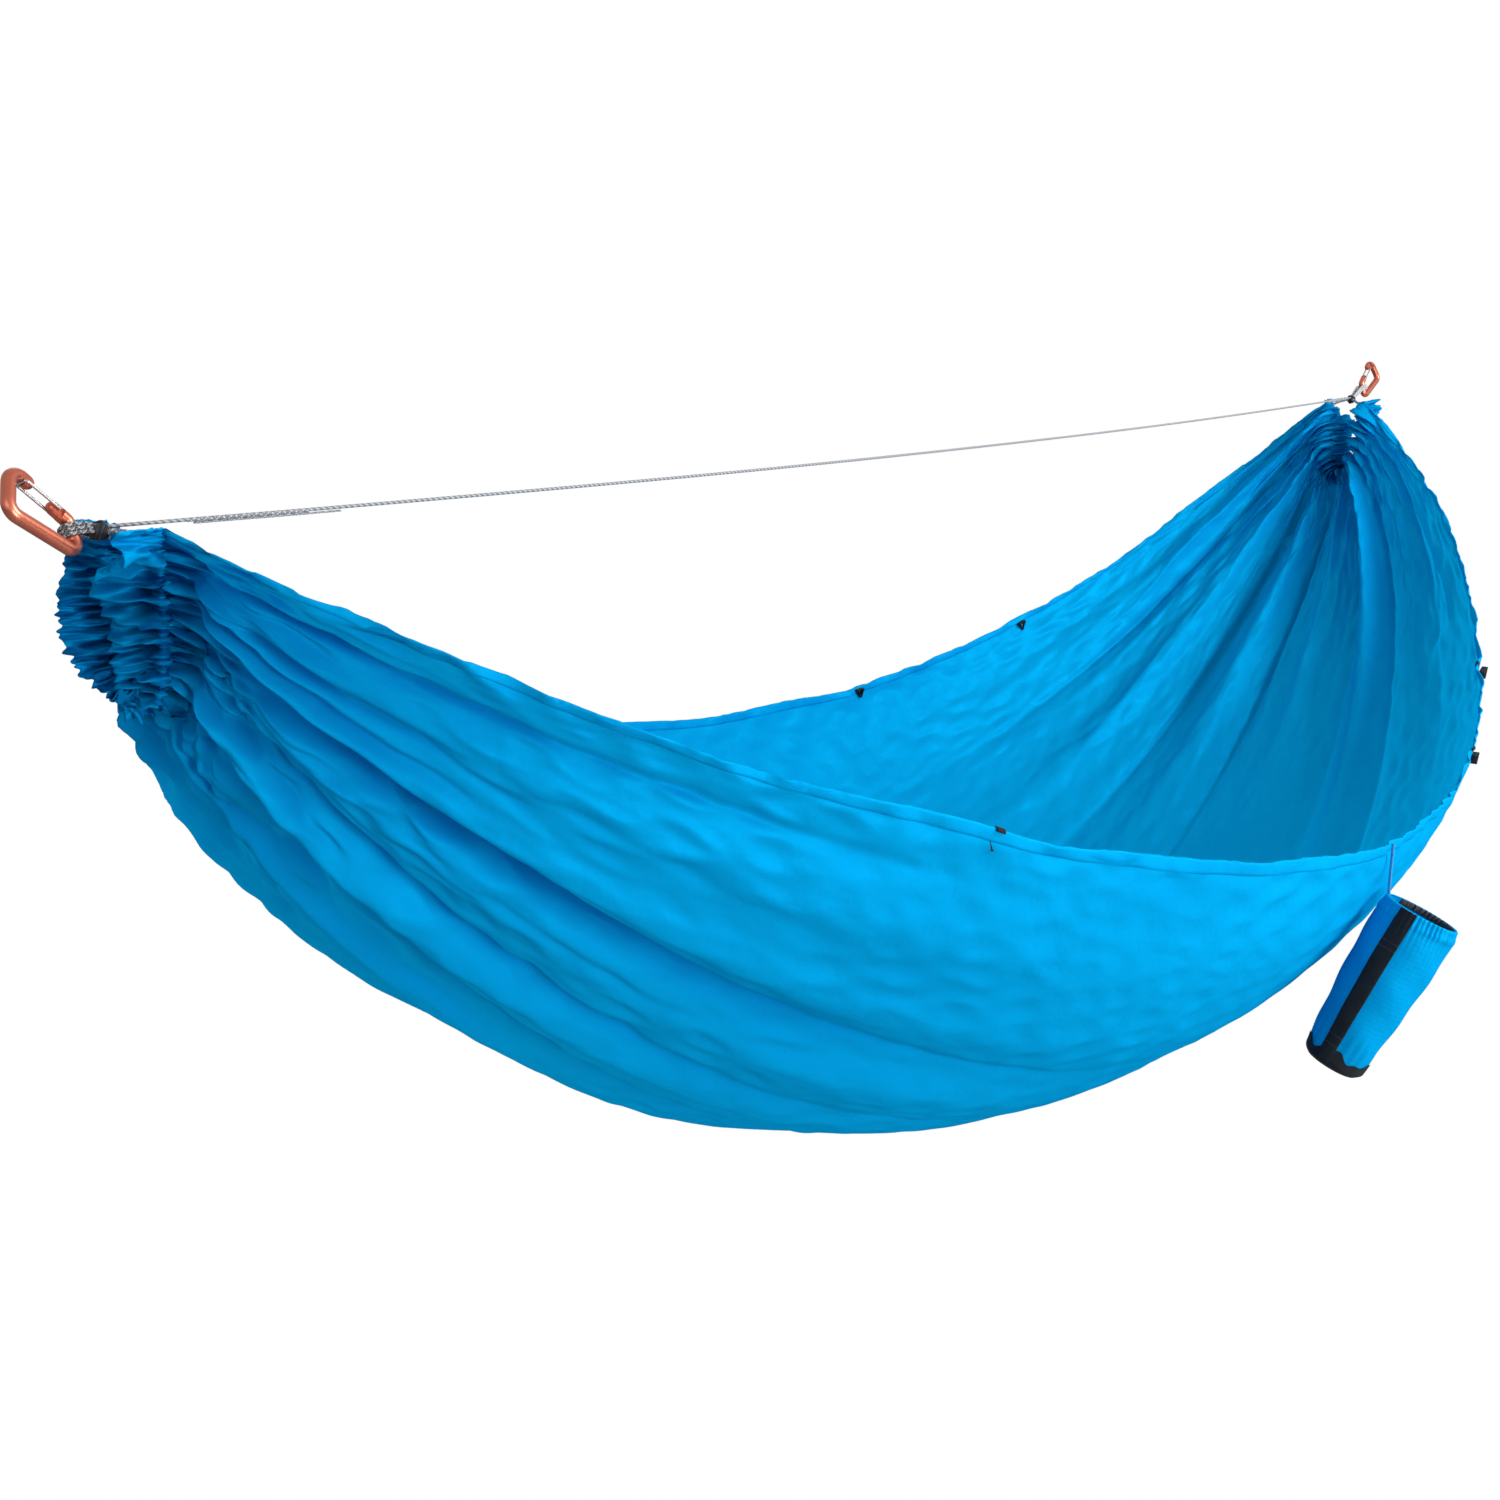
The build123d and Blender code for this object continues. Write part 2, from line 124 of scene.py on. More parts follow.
def route_line(points):
    """Points read from the smooth line of a route."""
    holder = nurbs_curve("route", points)
    bpy.context.view_layer.update()
    mesh = bpy.data.meshes.new_from_object(holder.evaluated_get(bpy.context.evaluated_depsgraph_get()))
    line = np.array([v.co[:] for v in mesh.vertices])
    bpy.data.objects.remove(holder)
    bpy.data.meshes.remove(mesh)
    return line


def even_line(line, step):
    """The same line with points an even distance apart."""
    walked = np.concatenate([[0], np.cumsum(np.linalg.norm(np.diff(line, axis=0), axis=1))])
    count = max(3, int(walked[-1] / step) + 1)
    at = np.linspace(0, walked[-1], count)
    return np.stack([np.interp(at, walked, line[:, k]) for k in range(3)], 1), at


def line_frames(line):
    """Two directions across a line at each of its points, carried along without twist."""
    along = unit(np.gradient(line, axis=0))
    start = np.array([0, 0, 1.0]) if abs(along[0][2]) < 0.9 else np.array([1.0, 0, 0])
    side = [unit(np.cross(along[0], start))]
    for here in along[1:]:
        last = side[-1]
        side.append(unit(last - here * np.dot(last, here)))
    side = np.array(side)
    return along, side, np.cross(along, side)


def tube(line, radius, sides=10):
    """Verts and faces of a closed tube; radius is a number or one per point."""
    _, side, up = line_frames(line)
    radius = np.broadcast_to(radius, (len(line),))
    turn = np.linspace(0, 2 * pi, sides, endpoint=False)
    ring = (np.cos(turn)[None, :, None] * side[:, None] + np.sin(turn)[None, :, None] * up[:, None])
    verts = (line[:, None] + ring * radius[:, None, None]).reshape(-1, 3)
    faces = grid_faces(len(line), sides, wrap=True)
    faces.append(tuple(range(sides))[::-1])
    faces.append(tuple(range((len(line) - 1) * sides, len(line) * sides)))
    return verts, faces


class Build:
    """Gathers several tubes or skins into one piece, each with its own material."""

    def __init__(self):
        self.verts, self.faces, self.kinds, self.uvs = [], [], [], []

    def add(self, verts, faces, kind=0, uvs=(), flip=False):
        base = len(self.verts)
        self.verts.extend(tuple(v) for v in verts)
        self.uvs.extend(uvs)
        self.faces.extend(tuple(base + k for k in (face[::-1] if flip else face)) for face in faces)
        self.kinds.extend([kind] * len(faces))
        return base

    def piece(self, name, body, slot, materials):
        uvs = np.array(self.uvs) if self.uvs else None
        made = mesh_object(name, self.verts, self.faces, body, materials, uvs)
        made.data.polygons.foreach_set("material_index", self.kinds)
        return made


def braid(build, line, radius, pitch, carriers=8, kinds=(0, 1, 0, 2)):
    """A braided cord: half of the strands turn each way, over and under each other."""
    line, at = even_line(line, pitch / 14)
    _, side, up = line_frames(line)
    strand = radius * 0.36
    half = carriers // 2
    for number in range(carriers):
        way = 1 if number < half else -1
        start = 2 * pi * (number % half) / half + (0 if way > 0 else pi / carriers)
        turn = start + way * 2 * pi * at / pitch
        wave = np.cos(half * (way * turn)) * way * strand * 0.28
        reach = radius - strand + wave
        path = line + (np.cos(turn) * reach)[:, None] * side + (np.sin(turn) * reach)[:, None] * up
        build.add(*tube(path, strand, 6), kinds[number % len(kinds)])


def twist(build, line, radius, pitch, strands=2, kind=0):
    """A laid cord of a few strands."""
    line, at = even_line(line, pitch / 14)
    _, side, up = line_frames(line)
    strand = radius * (0.52 if strands == 2 else 0.47)
    for number in range(strands):
        turn = 2 * pi * (number / strands + at / pitch)
        reach = radius - strand
        path = line + (np.cos(turn) * reach)[:, None] * side + (np.sin(turn) * reach)[:, None] * up
        build.add(*tube(path, strand, 8), kind)


class Shader:
    """A node material in a few words."""

    def __init__(self, name):
        self.material = bpy.data.materials.new(name)
        self.material.use_nodes = True
        self.tree = self.material.node_tree
        self.main = self.tree.nodes["Principled BSDF"]
        self.output = self.tree.nodes["Material Output"]
        place = self.node("ShaderNodeTexCoord")
        self.flat, self.solid = place.outputs["UV"], place.outputs["Object"]

    def node(self, kind, **values):
        made = self.tree.nodes.new(kind)
        for key, value in values.items():
            if key in made.inputs.keys():
                made.inputs[key].default_value = value
            else:
                setattr(made, key, value)
        return made

    def link(self, source, target):
        self.tree.links.new(source, target)

    def into(self, name, source):
        self.link(source, self.main.inputs[name])

    def set(self, **values):
        for key, value in values.items():
            self.main.inputs[key.replace("_", " ")].default_value = value

    def noise(self, scale, detail=4.0, where=None, distortion=0.0, roughness=0.5):
        made = self.node("ShaderNodeTexNoise", Scale=scale, Detail=detail, Distortion=distortion)
        made.inputs["Roughness"].default_value = roughness
        if where:
            self.link(where, made.inputs["Vector"])
        return made.outputs["Fac"]

    def ramp(self, source, stops):
        made = self.node("ShaderNodeValToRGB")
        elements = made.color_ramp.elements
        while len(elements) < len(stops):
            elements.new(0.5)
        for element, (place, colour) in zip(elements, stops):
            element.position = place
            element.color = (*colour, 1.0) if len(colour) == 3 else colour
        self.link(source, made.inputs["Fac"])
        return made.outputs["Color"]

    def math(self, operation, one, two=None):
        made = self.node("ShaderNodeMath", operation=operation)
        for socket, value in zip(made.inputs, (one, two)):
            if value is None:
                continue
            if isinstance(value, (int, float)):
                socket.default_value = value
            else:
                self.link(value, socket)
        return made.outputs[0]

    def wave(self, source, length):
        return self.math("SINE", self.math("MULTIPLY", source, 2 * pi / length))

    def bump(self, height, strength, distance, under=None):
        made = self.node("ShaderNodeBump", Strength=strength, Distance=distance)
        self.link(height, made.inputs["Height"])
        if under:
            self.link(under, made.inputs["Normal"])
        return made.outputs["Normal"]


# ---- materials
RIPSTOP = 0.0052              # between the thicker threads of the weave
SEAM_PLACE, SEAM_WIDTH = 0.0118, 0.0005
STITCH_LENGTH = 0.004
STRIPE = 0.006                # between the sack's faint lines
GLOSS_SHARE = 0.07            # of the nylon's light


def nylon(name, light, deep, through, see_through=0.26, crinkle=0.35,
          stitched=False, striped=False, folded=False):
    """Thin crisp nylon: fine ripstop weave, soft crinkles, light through it; with folded set, painted shade
    darkens its folds.
    """
    s = Shader(name)
    patches = s.noise(3.2, 3.0, s.solid)
    colour = s.ramp(patches, ((0.30, deep), (0.66, light)))
    # painted shade: the fold attribute mixes the base colour towards the dark fold blue in creases, valleys
    # and packed gathers
    if folded:
        fold = s.node("ShaderNodeAttribute", attribute_name="fold")
        darker = s.node("ShaderNodeMix", data_type="RGBA")
        s.link(fold.outputs["Fac"], darker.inputs["Factor"])
        s.link(colour, darker.inputs["A"])
        darker.inputs["B"].default_value = (*BLUE_FOLD_SHADE, 1.0)
        colour = darker.outputs["Result"]
    s.into("Base Color", colour)
    s.main.inputs["Specular IOR Level"].default_value = 0.0
    dull = s.ramp(s.noise(40.0, 3.0, s.solid), ((0.3, (0.40,) * 3), (0.75, (0.54,) * 3)))
    s.into("Roughness", dull)
    parts = s.node("ShaderNodeSeparateXYZ")
    s.link(s.flat, parts.inputs[0])
    warp = s.wave(parts.outputs[0], RIPSTOP)
    weft = s.wave(parts.outputs[1], RIPSTOP)
    grid = s.math("MAXIMUM", s.math("POWER", s.math("ABSOLUTE", warp), 12.0),
                  s.math("POWER", s.math("ABSOLUTE", weft), 12.0))
    weave = s.bump(grid, 0.10, 0.0004)
    fine = s.noise(30.0, 5.0, s.solid, distortion=0.6, roughness=0.62)
    coarse = s.noise(9.0, 4.0, s.solid, distortion=0.3)
    ridged = s.math("ABSOLUTE", s.math("SUBTRACT", coarse, 0.5))
    creased = s.bump(fine, crinkle * 0.5, 0.004, weave)
    creased = s.bump(ridged, crinkle, 0.018, creased)
    if striped:
        lines = s.wave(parts.outputs[1], STRIPE)
        creased = s.bump(lines, 0.07, 0.0005, creased)
    if stitched:
        away = s.math("ABSOLUTE", s.math("SUBTRACT", parts.outputs[1], SEAM_PLACE))
        row = s.math("LESS_THAN", away, SEAM_WIDTH)
        beat = s.wave(parts.outputs[0], STITCH_LENGTH)
        dash = s.math("GREATER_THAN", beat, -0.5)
        stitch = s.math("MULTIPLY", row, dash)
        creased = s.bump(stitch, 0.8, 0.001, creased)
    s.into("Normal", creased)
    satin = s.node("ShaderNodeBsdfGlossy", Color=(*through, 1.0))
    s.link(dull, satin.inputs["Roughness"])
    s.link(creased, satin.inputs["Normal"])
    shine = s.node("ShaderNodeMixShader", Fac=GLOSS_SHARE)
    s.link(s.main.outputs[0], shine.inputs[1])
    s.link(satin.outputs[0], shine.inputs[2])
    glow = s.node("ShaderNodeBsdfTranslucent")
    glow.inputs["Color"].default_value = (*through, 1.0)
    s.link(creased, glow.inputs["Normal"])
    blend = s.node("ShaderNodeMixShader", Fac=see_through)
    s.link(shine.outputs[0], blend.inputs[1])
    s.link(glow.outputs[0], blend.inputs[2])
    s.link(blend.outputs[0], s.output.inputs["Surface"])
    return s.material


def webbing(name, colour, worn, rib=0.0016):
    s = Shader(name)
    parts = s.node("ShaderNodeSeparateXYZ")
    s.link(s.flat, parts.inputs[0])
    ways = []
    for way in ("ADD", "SUBTRACT"):
        slant = s.math(way, parts.outputs[0], parts.outputs[1])
        ways.append(s.wave(slant, rib))
    ribs = s.math("MULTIPLY", *ways)
    shade = s.noise(60.0, 4.0, s.solid)
    s.into("Base Color", s.ramp(shade, ((0.3, colour), (0.8, worn))))
    s.into("Normal", s.bump(ribs, 0.5, 0.0004))
    s.set(Roughness=0.62, Sheen_Weight=0.02)
    s.main.inputs["Specular IOR Level"].default_value = 0.22
    return s.material


def cord_material(name, colour, dark, scale=500.0):
    s = Shader(name)
    fibres = s.noise(scale, 4.0, s.solid, distortion=1.5)
    s.into("Base Color", s.ramp(fibres, ((0.35, dark), (0.62, colour))))
    s.into("Normal", s.bump(fibres, 0.5, 0.0004))
    s.set(Roughness=0.6, Sheen_Weight=0.15)
    return s.material


def line_material():
    """The ridgeline's braid, as fine diagonal bands."""
    s = Shader("ridgeline_braid")
    wave = s.node("ShaderNodeTexWave", Scale=95.0, Distortion=0.6)
    wave.bands_direction = "DIAGONAL"
    s.link(s.solid, wave.inputs["Vector"])
    greys = ((0.25, (0.16, 0.165, 0.17)), (0.7, (0.40, 0.40, 0.41)))
    s.into("Base Color", s.ramp(wave.outputs["Fac"], greys))
    s.into("Normal", s.bump(wave.outputs["Fac"], 0.6, 0.0005))
    s.set(Roughness=0.6)
    return s.material


def anodised():
    s = Shader("copper_anodised")
    film = s.noise(18.0, 3.0, s.solid)
    hue = s.ramp(film, ((0.3, (0.56, 0.125, 0.070)), (0.7, (0.72, 0.205, 0.125))))
    s.into("Base Color", hue)
    scratches = s.noise(420.0, 6.0, s.solid, distortion=2.0)
    s.into("Roughness", s.ramp(scratches, ((0.35, (0.26,) * 3), (0.75, (0.40,) * 3))))
    s.into("Normal", s.bump(scratches, 0.04, 0.0003))
    s.set(Metallic=0.82, Coat_Weight=0.25, Coat_Roughness=0.18)
    return s.material


def steel():
    s = Shader("gate_steel")
    brushed = s.noise(900.0, 3.0, s.solid, distortion=3.0)
    s.into("Roughness", s.ramp(brushed, ((0.3, (0.20,) * 3), (0.8, (0.34,) * 3))))
    shade = s.ramp(brushed, ((0.3, (0.56, 0.56, 0.57)), (0.8, (0.74, 0.74, 0.75))))
    s.into("Base Color", shade)
    s.set(Metallic=1.0)
    return s.material


BLUE = (0.0008, 0.345, 0.720)
BLUE_DEEP = (0.0008, 0.300, 0.655)
BLUE_THROUGH = (0.0008, 0.50, 0.86)
# painted shade: the dark blue mixed into the bed cloth's fold valleys, packed gathers and the cloth by the
# gather cords
BLUE_FOLD_SHADE = (0.0008, 0.048, 0.235)
bed_material = nylon("bed_nylon", BLUE, BLUE_DEEP, BLUE_THROUGH, folded=True)
hem_material = nylon("hem_nylon", BLUE, BLUE_DEEP, BLUE_THROUGH, see_through=0.16, stitched=True)
sack_material = nylon("sack_nylon", BLUE, BLUE_DEEP, BLUE_THROUGH, see_through=0.12, crinkle=0.22,
                      striped=True)
black_web = webbing("black_webbing", (0.0025, 0.0050, 0.0090), (0.0075, 0.0120, 0.0190))
black_cord = cord_material("black_cord", (0.018, 0.020, 0.024), (0.006, 0.007, 0.009))
grey_strand = cord_material("grey_strand", (0.26, 0.265, 0.28), (0.12, 0.125, 0.135))
white_strand = cord_material("white_strand", (0.62, 0.63, 0.64), (0.42, 0.43, 0.45))
dark_strand = cord_material("dark_strand", (0.06, 0.063, 0.07), (0.02, 0.022, 0.026))
STRANDS = [grey_strand, white_strand, dark_strand]
blue_cord = cord_material("blue_cord", (0.002, 0.26, 0.60), (0.002, 0.17, 0.46), scale=300.0)
copper = anodised()
wire = steel()


# ---- the bed cloth
def rise(u, power):
    base = 4 * u * (1 - u)
    low = END_EASE ** power
    return ((base + END_EASE) ** power - low) / ((1 + END_EASE) ** power - low)


def bed_sections(x, shares):
    """Base surface: one row of points for each x, at even shares of the girth."""
    angles = np.radians(np.linspace(-90, 90, 241))
    u = np.clip((x - BED_START) / (BED_END - BED_START), 0, 1)[:, None]
    lean = u - 0.5
    width = END_HALF_WIDTH + SPREAD * rise(u, SPREAD_POWER) * (1 + SPREAD_LEAN * lean)
    rim = RIM_SAG * rise(u, RIM_POWER) * (1 + RIM_LEAN * lean)
    keel = END_DEPTH + KEEL_SAG * rise(u, KEEL_POWER) * (1 + KEEL_LEAN * lean)
    far = angles > 0
    y = np.abs(np.sin(angles)) ** SIDE_POWER * width * np.where(far, FAR_WIDTH_RATIO, -1)
    hang = np.clip(np.cos(angles), 0, 1) ** BELLY_POWER
    z = RIM_TOP - (rim * np.where(far, FAR_RISE_RATIO, 1) * (1 - hang) + keel * hang)
    walked = np.concatenate([np.zeros((len(x), 1)), np.cumsum(np.hypot(np.diff(y), np.diff(z)), axis=1)], 1)
    girth = walked[:, -1]
    rows = np.empty((len(x), len(shares), 3))
    for i in range(len(x)):
        rows[i, :, 0] = x[i]
        rows[i, :, 1] = np.interp(shares * girth[i], walked[i], y[i])
        rows[i, :, 2] = np.interp(shares * girth[i], walked[i], z[i])
    return rows


def wobble(at, seed, waves=5, lowest=1.0):
    """A smooth seeded curve with values about -1 to 1."""
    rng = np.random.default_rng(seed)
    total = np.zeros_like(at)
    for k in range(waves):
        size = rng.normal()
        total = total + size * np.sin(2 * pi * (lowest * (k + 1) * at + rng.random())) / (k + 1) ** 0.7
    return total / 1.6


def rumple(along, across, seed, long, wide, waves=8):
    """Smooth seeded noise over the cloth, with its two scales in metres."""
    rng = np.random.default_rng(seed)
    total = 0
    for _ in range(waves):
        one, two = rng.normal(0, 1, 2)
        total = total + np.sin(2 * pi * (one * along / long + two * across / wide + rng.random()))
    return total / math.sqrt(waves / 2)


def normals(x):
    """Unit normals of a grid, pointing out of the bed."""
    return unit(np.cross(np.gradient(x, axis=1), np.gradient(x, axis=0)))


def pull_together(x, rest, axis, strength):
    """Moves neighbours along one axis of the grid towards their rest distance."""
    grid = x if axis == 1 else x.transpose(1, 0, 2)
    rest = rest if axis == 1 else rest.T
    for start in (0, 1):
        a = grid[:, start:-1:2]
        b = grid[:, start + 1::2]
        goal = rest[:, start::2][:, :b.shape[1]]
        a = a[:, :b.shape[1]]
        gap = b - a
        size = np.sqrt((gap * gap).sum(-1))
        push = (size - goal) / np.maximum(size, 1e-9)
        move = gap * (0.5 * strength * push)[..., None]
        a += move
        b -= move


def smooth_bend(x, amount):
    """Takes a little sharpness out of the folds, in both directions of the grid."""
    for grid, share in ((x, amount), (x.transpose(1, 0, 2), 2 * amount)):
        bend = grid[:, :-2] - 2 * grid[:, 1:-1] + grid[:, 2:]
        change = np.zeros_like(grid)
        change[:, :-2] += bend
        change[:, 1:-1] -= 2 * bend
        change[:, 2:] += bend
        grid -= share * change


def relax(x, base, rest_along, rest_across, hold, fixed, rounds, bend):
    """Lets the cloth find its folds: no stretch either way, a little bending, a soft hold on its place."""
    kept = x[fixed].copy()
    for _ in range(rounds):
        pull_together(x, rest_across, 1, 0.9)
        pull_together(x, rest_along, 0, 0.9)
        smooth_bend(x, bend)
        x += hold * (base - x)
        x[fixed] = kept
    return x


def row_places(count):
    """x of the rows from pinch to pinch, closer together near the ends."""
    t = np.linspace(0, 1, count)
    eased = 0.30 * t + 0.70 * (1 - np.cos(pi * t)) / 2
    return LEFT_PINCH + (RIGHT_PINCH - LEFT_PINCH) * eased


def valleys(shares, number, seed, sharp=0.9):
    """Round ridges with sharp valleys between them, of uneven width: 0 at a ridge to -1 in a valley."""
    rng = np.random.default_rng(seed)
    widths = 0.28 + rng.random(number) ** 1.5
    edges = np.concatenate([[0], np.cumsum(widths)]) / widths.sum()
    depths = 0.45 + 0.55 * rng.random(number + 1)
    k = np.clip(np.searchsorted(edges, shares, side="right") - 1, 0, number - 1)
    across = (shares - edges[k]) / (edges[k + 1] - edges[k])
    depth = depths[k] + (depths[k + 1] - depths[k]) * across
    return -depth * (1 - np.sin(pi * np.clip(across, 0, 1)) ** sharp)


# folds that gather at an end: how many, how deep, where they are deepest and how far they reach
GATHERS = (
    (29, 0.030, 0.012, 0.022),
    (19, 0.024, 0.045, 0.050),
    (13, 0.022, 0.13, 0.12),
    (9, 0.018, 0.32, 0.26),
    (6, 0.013, 0.62, 0.40),
)


def gathers(shares, place, span):
    """Depth of the folds that run from the two ends."""
    total = np.zeros((len(place), len(shares)))
    for end in (LEFT, RIGHT):
        reach = (place if end == LEFT else span - place)[:, None]
        for k, (number, depth, near, wide) in enumerate(GATHERS):
            size = depth * np.exp(-((np.maximum(reach, 0) - near) / wide) ** 2)
            if k < 2:
                far_side = 1 / (1 + np.exp(-(shares[None] - 0.52) / 0.03))
                size = size * (0.75 + (0.35 if end == RIGHT else 0.55) * far_side)
            slide = 0.017 if end == LEFT else 0.013
            seed = 50 + 10 * end + k
            slip = slide * rumple(reach, shares[None] * CLOTH_WIDTH, seed, 0.05 + 2 * near, 0.4, 6)
            slip = slip * np.exp(-0.010 / (np.abs(reach) + 0.001))
            moved = np.clip(shares[None] + slip, 0, 1)
            total += size * valleys(moved, number, 70 + 10 * end + k)
    return total


# long folds: end, share of the width near the end and further on, half width as a share,
# height (out of the bed is positive), where they start and fade, in metres from the end
LONG_FOLDS = (
    (LEFT, 0.185, 0.222, 0.020, -0.042, 0.05, 0.85),
    (LEFT, 0.150, 0.178, 0.020, 0.018, 0.04, 0.80),
    (LEFT, 0.225, 0.268, 0.022, 0.022, 0.05, 0.90),
    (LEFT, 0.070, 0.040, 0.014, -0.020, 0.02, 0.50),
    (LEFT, 0.105, 0.100, 0.022, 0.016, 0.03, 0.60),
    (LEFT, 0.290, 0.330, 0.016, -0.026, 0.04, 0.80),
    (LEFT, 0.330, 0.370, 0.024, 0.020, 0.05, 0.80),
    (LEFT, 0.385, 0.430, 0.020, -0.030, 0.06, 0.80),
    (LEFT, 0.460, 0.490, 0.024, 0.016, 0.05, 0.70),
    (LEFT, 0.520, 0.520, 0.018, -0.022, 0.05, 0.60),
    (LEFT, 0.640, 0.640, 0.022, 0.016, 0.05, 0.60),
    (LEFT, 0.790, 0.780, 0.020, -0.018, 0.05, 0.60),
    (RIGHT, 0.350, 0.262, 0.028, -0.046, 0.04, 1.10),
    (RIGHT, 0.300, 0.215, 0.018, 0.026, 0.10, 0.95),
    (RIGHT, 0.400, 0.310, 0.018, 0.020, 0.05, 0.80),
    (RIGHT, 0.450, 0.420, 0.022, -0.022, 0.05, 0.75),
    (RIGHT, 0.508, 0.505, 0.020, 0.030, 0.05, 0.90),
    (RIGHT, 0.575, 0.575, 0.024, -0.028, 0.04, 0.90),
    (RIGHT, 0.660, 0.645, 0.020, 0.032, 0.05, 0.95),
    (RIGHT, 0.745, 0.735, 0.026, -0.028, 0.05, 0.90),
    (RIGHT, 0.853, 0.845, 0.020, 0.026, 0.04, 0.85),
    (RIGHT, 0.915, 0.905, 0.022, -0.018, 0.04, 0.65),
    (RIGHT, 0.120, 0.110, 0.026, 0.016, 0.06, 0.65),
)


def long_folds(shares, place, span):
    """The big folds; a fold out of the side one looks at has a round top, its valleys are sharp."""
    total = np.zeros((len(place), len(shares)))
    for end, near, far, half, height, start, fade in LONG_FOLDS:
        reach = np.maximum(place if end == LEFT else span - place, 0)[:, None]
        middle = far + (near - far) * np.exp(-reach / 0.22)
        size = height * (1 - np.exp(-(reach / start) ** 1.5)) * np.exp(-(reach / fade) ** 2)
        away = (shares[None] - middle) / half
        sharp = (height < 0) == (end == LEFT)
        if sharp:
            away = away / np.where((away > 0) == (shares[None] < 0.5), 1.45, 0.62)
        away = np.abs(away)
        total += size * (np.exp(-away ** 0.95 * 1.1) if sharp else np.exp(-away ** 2))
    return total


def gathered_row(x, shares):
    """The row along the gather cord: the same way as the cord goes, up to the rims."""
    half = [(-0.030, 0.002), (-0.032, -0.017), (-0.034, -0.068), (-0.027, -0.118), (-0.011, -0.142)]
    route = half + [(-y, z) for y, z in half[::-1]]
    line = route_line([(x, y, RIM_TOP + z) for y, z in route])
    walked = np.concatenate([[0], np.cumsum(np.linalg.norm(np.diff(line, axis=0), axis=1))])
    return np.stack([np.interp(shares * walked[-1], walked, line[:, k]) for k in range(3)], 1)


def end_flap(row, side, count, shares):
    """Rows outside the pinch: the cloth flares out as an uneven frill, longest at the rims."""
    out = (np.arange(count) + 1) / count
    flap = np.repeat(row[None], count, 0)
    high = np.abs(2 * shares - 1) ** 1.5
    centre = np.array([row[0, 0], 0, RIM_TOP - 0.055])
    wide = np.where((side > 0) & (shares < 0.35), 1.6, 1.0)
    spread = (0.05 + 0.42 * high) * wide * (1 + 0.30 * wobble(shares, 21 + side, 4))
    flare = 1 + spread[None] * out[:, None]
    growth = np.stack([np.ones_like(flare), flare, 0.9 + 0.1 * flare], 2)
    flap = centre + (flap - centre) * growth
    front = shares < 0.5 if side < 0 else shares > 0.5
    deep = np.clip((RIM_TOP - 0.016 - row[:, 2]) / 0.022, 0, 1)
    lean = 0.92 * (front * deep)[None] * (out[:, None] ** 0.8)
    lean = lean * np.clip(np.abs(shares - 0.5) / 0.06, 0, 1)[None]
    flap[:, :, 1] += lean * (-0.012 * side - flap[:, :, 1])
    short_rim = (shares > 0.5) & (side < 0)
    longest = np.where(short_rim, 0.38 + 0.54 * np.exp(-((high - 0.42) / 0.30) ** 2), 0.48 + 0.44 * high)
    length = FLAP * (longest + (0.13 if side < 0 else 0.05) * wobble(shares, 31 + side, 6))[None]
    flap[:, :, 0] += side * out[:, None] * length
    return flap, out * FLAP


